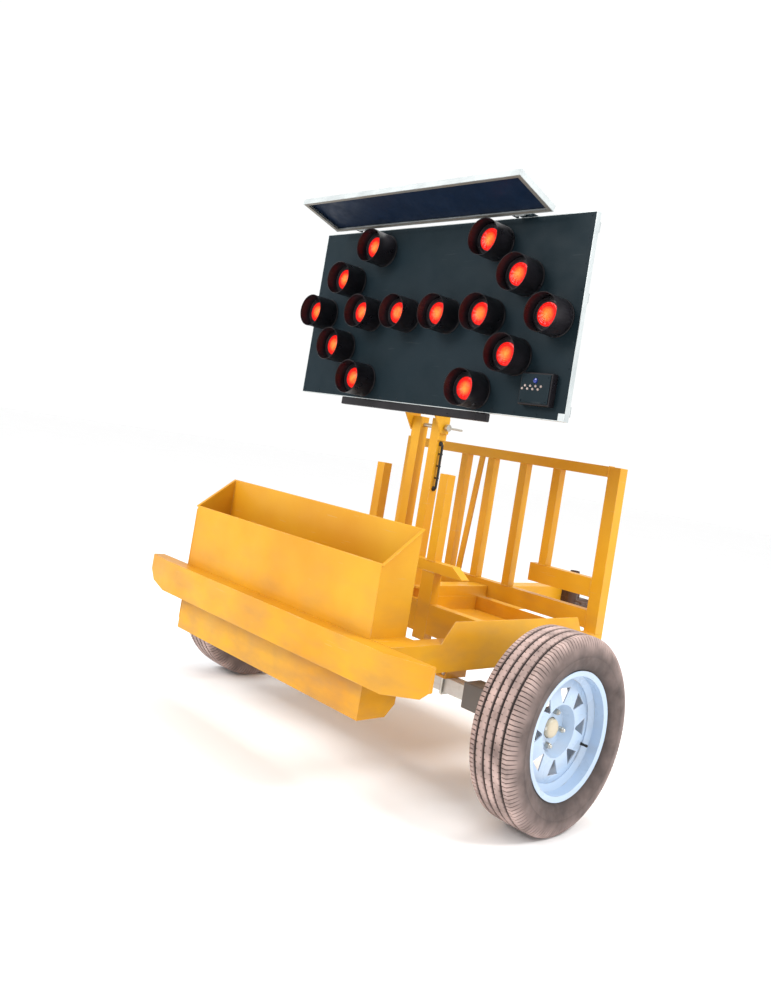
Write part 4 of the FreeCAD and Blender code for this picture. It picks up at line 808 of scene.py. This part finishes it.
# ------------------------------------------------------------------ floor, light and camera
def stage():
    """Pale floor, softly lit from large sources."""
    mat, tree, shader = material("floor_pale", (0.96, 0.96, 0.96), 0.8, specular=0.1)
    drift = ramp(tree, noise(tree, 1.5), 0.3, 0.7)
    tone = mix(tree, drift, (0.970, 0.970, 0.970), (0.955, 0.955, 0.955))
    tree.links.new(tone, shader.inputs["Base Color"])
    bm = bmesh.new()
    bmesh.ops.create_grid(bm, x_segments=2, y_segments=2, size=30)
    mesh = bpy.data.meshes.new("floor")
    bm.to_mesh(mesh)
    bm.free()
    mesh.materials.append(mat)
    floor = bpy.data.objects.new("floor", mesh)
    bpy.context.scene.collection.objects.link(floor)
    world = bpy.data.worlds.new("studio")
    world.use_nodes = True
    world.node_tree.nodes["Background"].inputs["Color"].default_value = (1.0, 1.0, 1.0, 1)
    world.node_tree.nodes["Background"].inputs["Strength"].default_value = 1.03
    bpy.context.scene.world = world
    bpy.context.scene.view_settings.view_transform = "Standard"
    for name, place, aim, size, power in (
            ("key", (-1.2, -4.8, 3.4), (0, -0.5, 0.8), 1.8, 130),
            ("rim", (3.4, 0.6, 4.2), (0.3, -0.3, 1.2), 1.2, 110),
            ("top", (0.2, 0.6, 5.2), (0, -0.2, 0.6), 2.0, 90)):
        light = bpy.data.lights.new(name, "AREA")
        light.size = size
        light.energy = power
        lamp = bpy.data.objects.new(name, light)
        lamp.location = place
        lamp.rotation_euler = (Vector(aim) - Vector(place)).to_track_quat("-Z", "Y").to_euler()
        bpy.context.scene.collection.objects.link(lamp)


def camera():
    """The camera of the reference view: three-quarter rear right, rolled a little."""
    azimuth = math.radians(46.344)
    tilt = math.radians(-1.905)
    roll = math.radians(9.453)
    back = Vector((math.sin(azimuth) * math.cos(tilt), -math.cos(azimuth) * math.cos(tilt), math.sin(tilt)))
    right = (-back).cross(Vector((0, 0, 1))).normalized()
    up = right.cross(-back)
    right_rolled = right * math.cos(roll) + up * math.sin(roll)
    up_rolled = up * math.cos(roll) - right * math.sin(roll)
    lens = bpy.data.cameras.new("view")
    lens.sensor_fit = "VERTICAL"
    lens.sensor_height = 36
    lens.lens = lens.sensor_height * 0.8703
    lens.shift_x = -0.00665
    lens.shift_y = -0.0875
    lens.clip_end = 200
    view = bpy.data.objects.new("view", lens)
    turn = Matrix((right_rolled, up_rolled, back)).transposed().to_4x4()
    view.matrix_world = Matrix.Translation((2.274, -2.674, 1.076)) @ turn
    bpy.context.scene.collection.objects.link(view)
    bpy.context.scene.camera = view


stage()
camera()
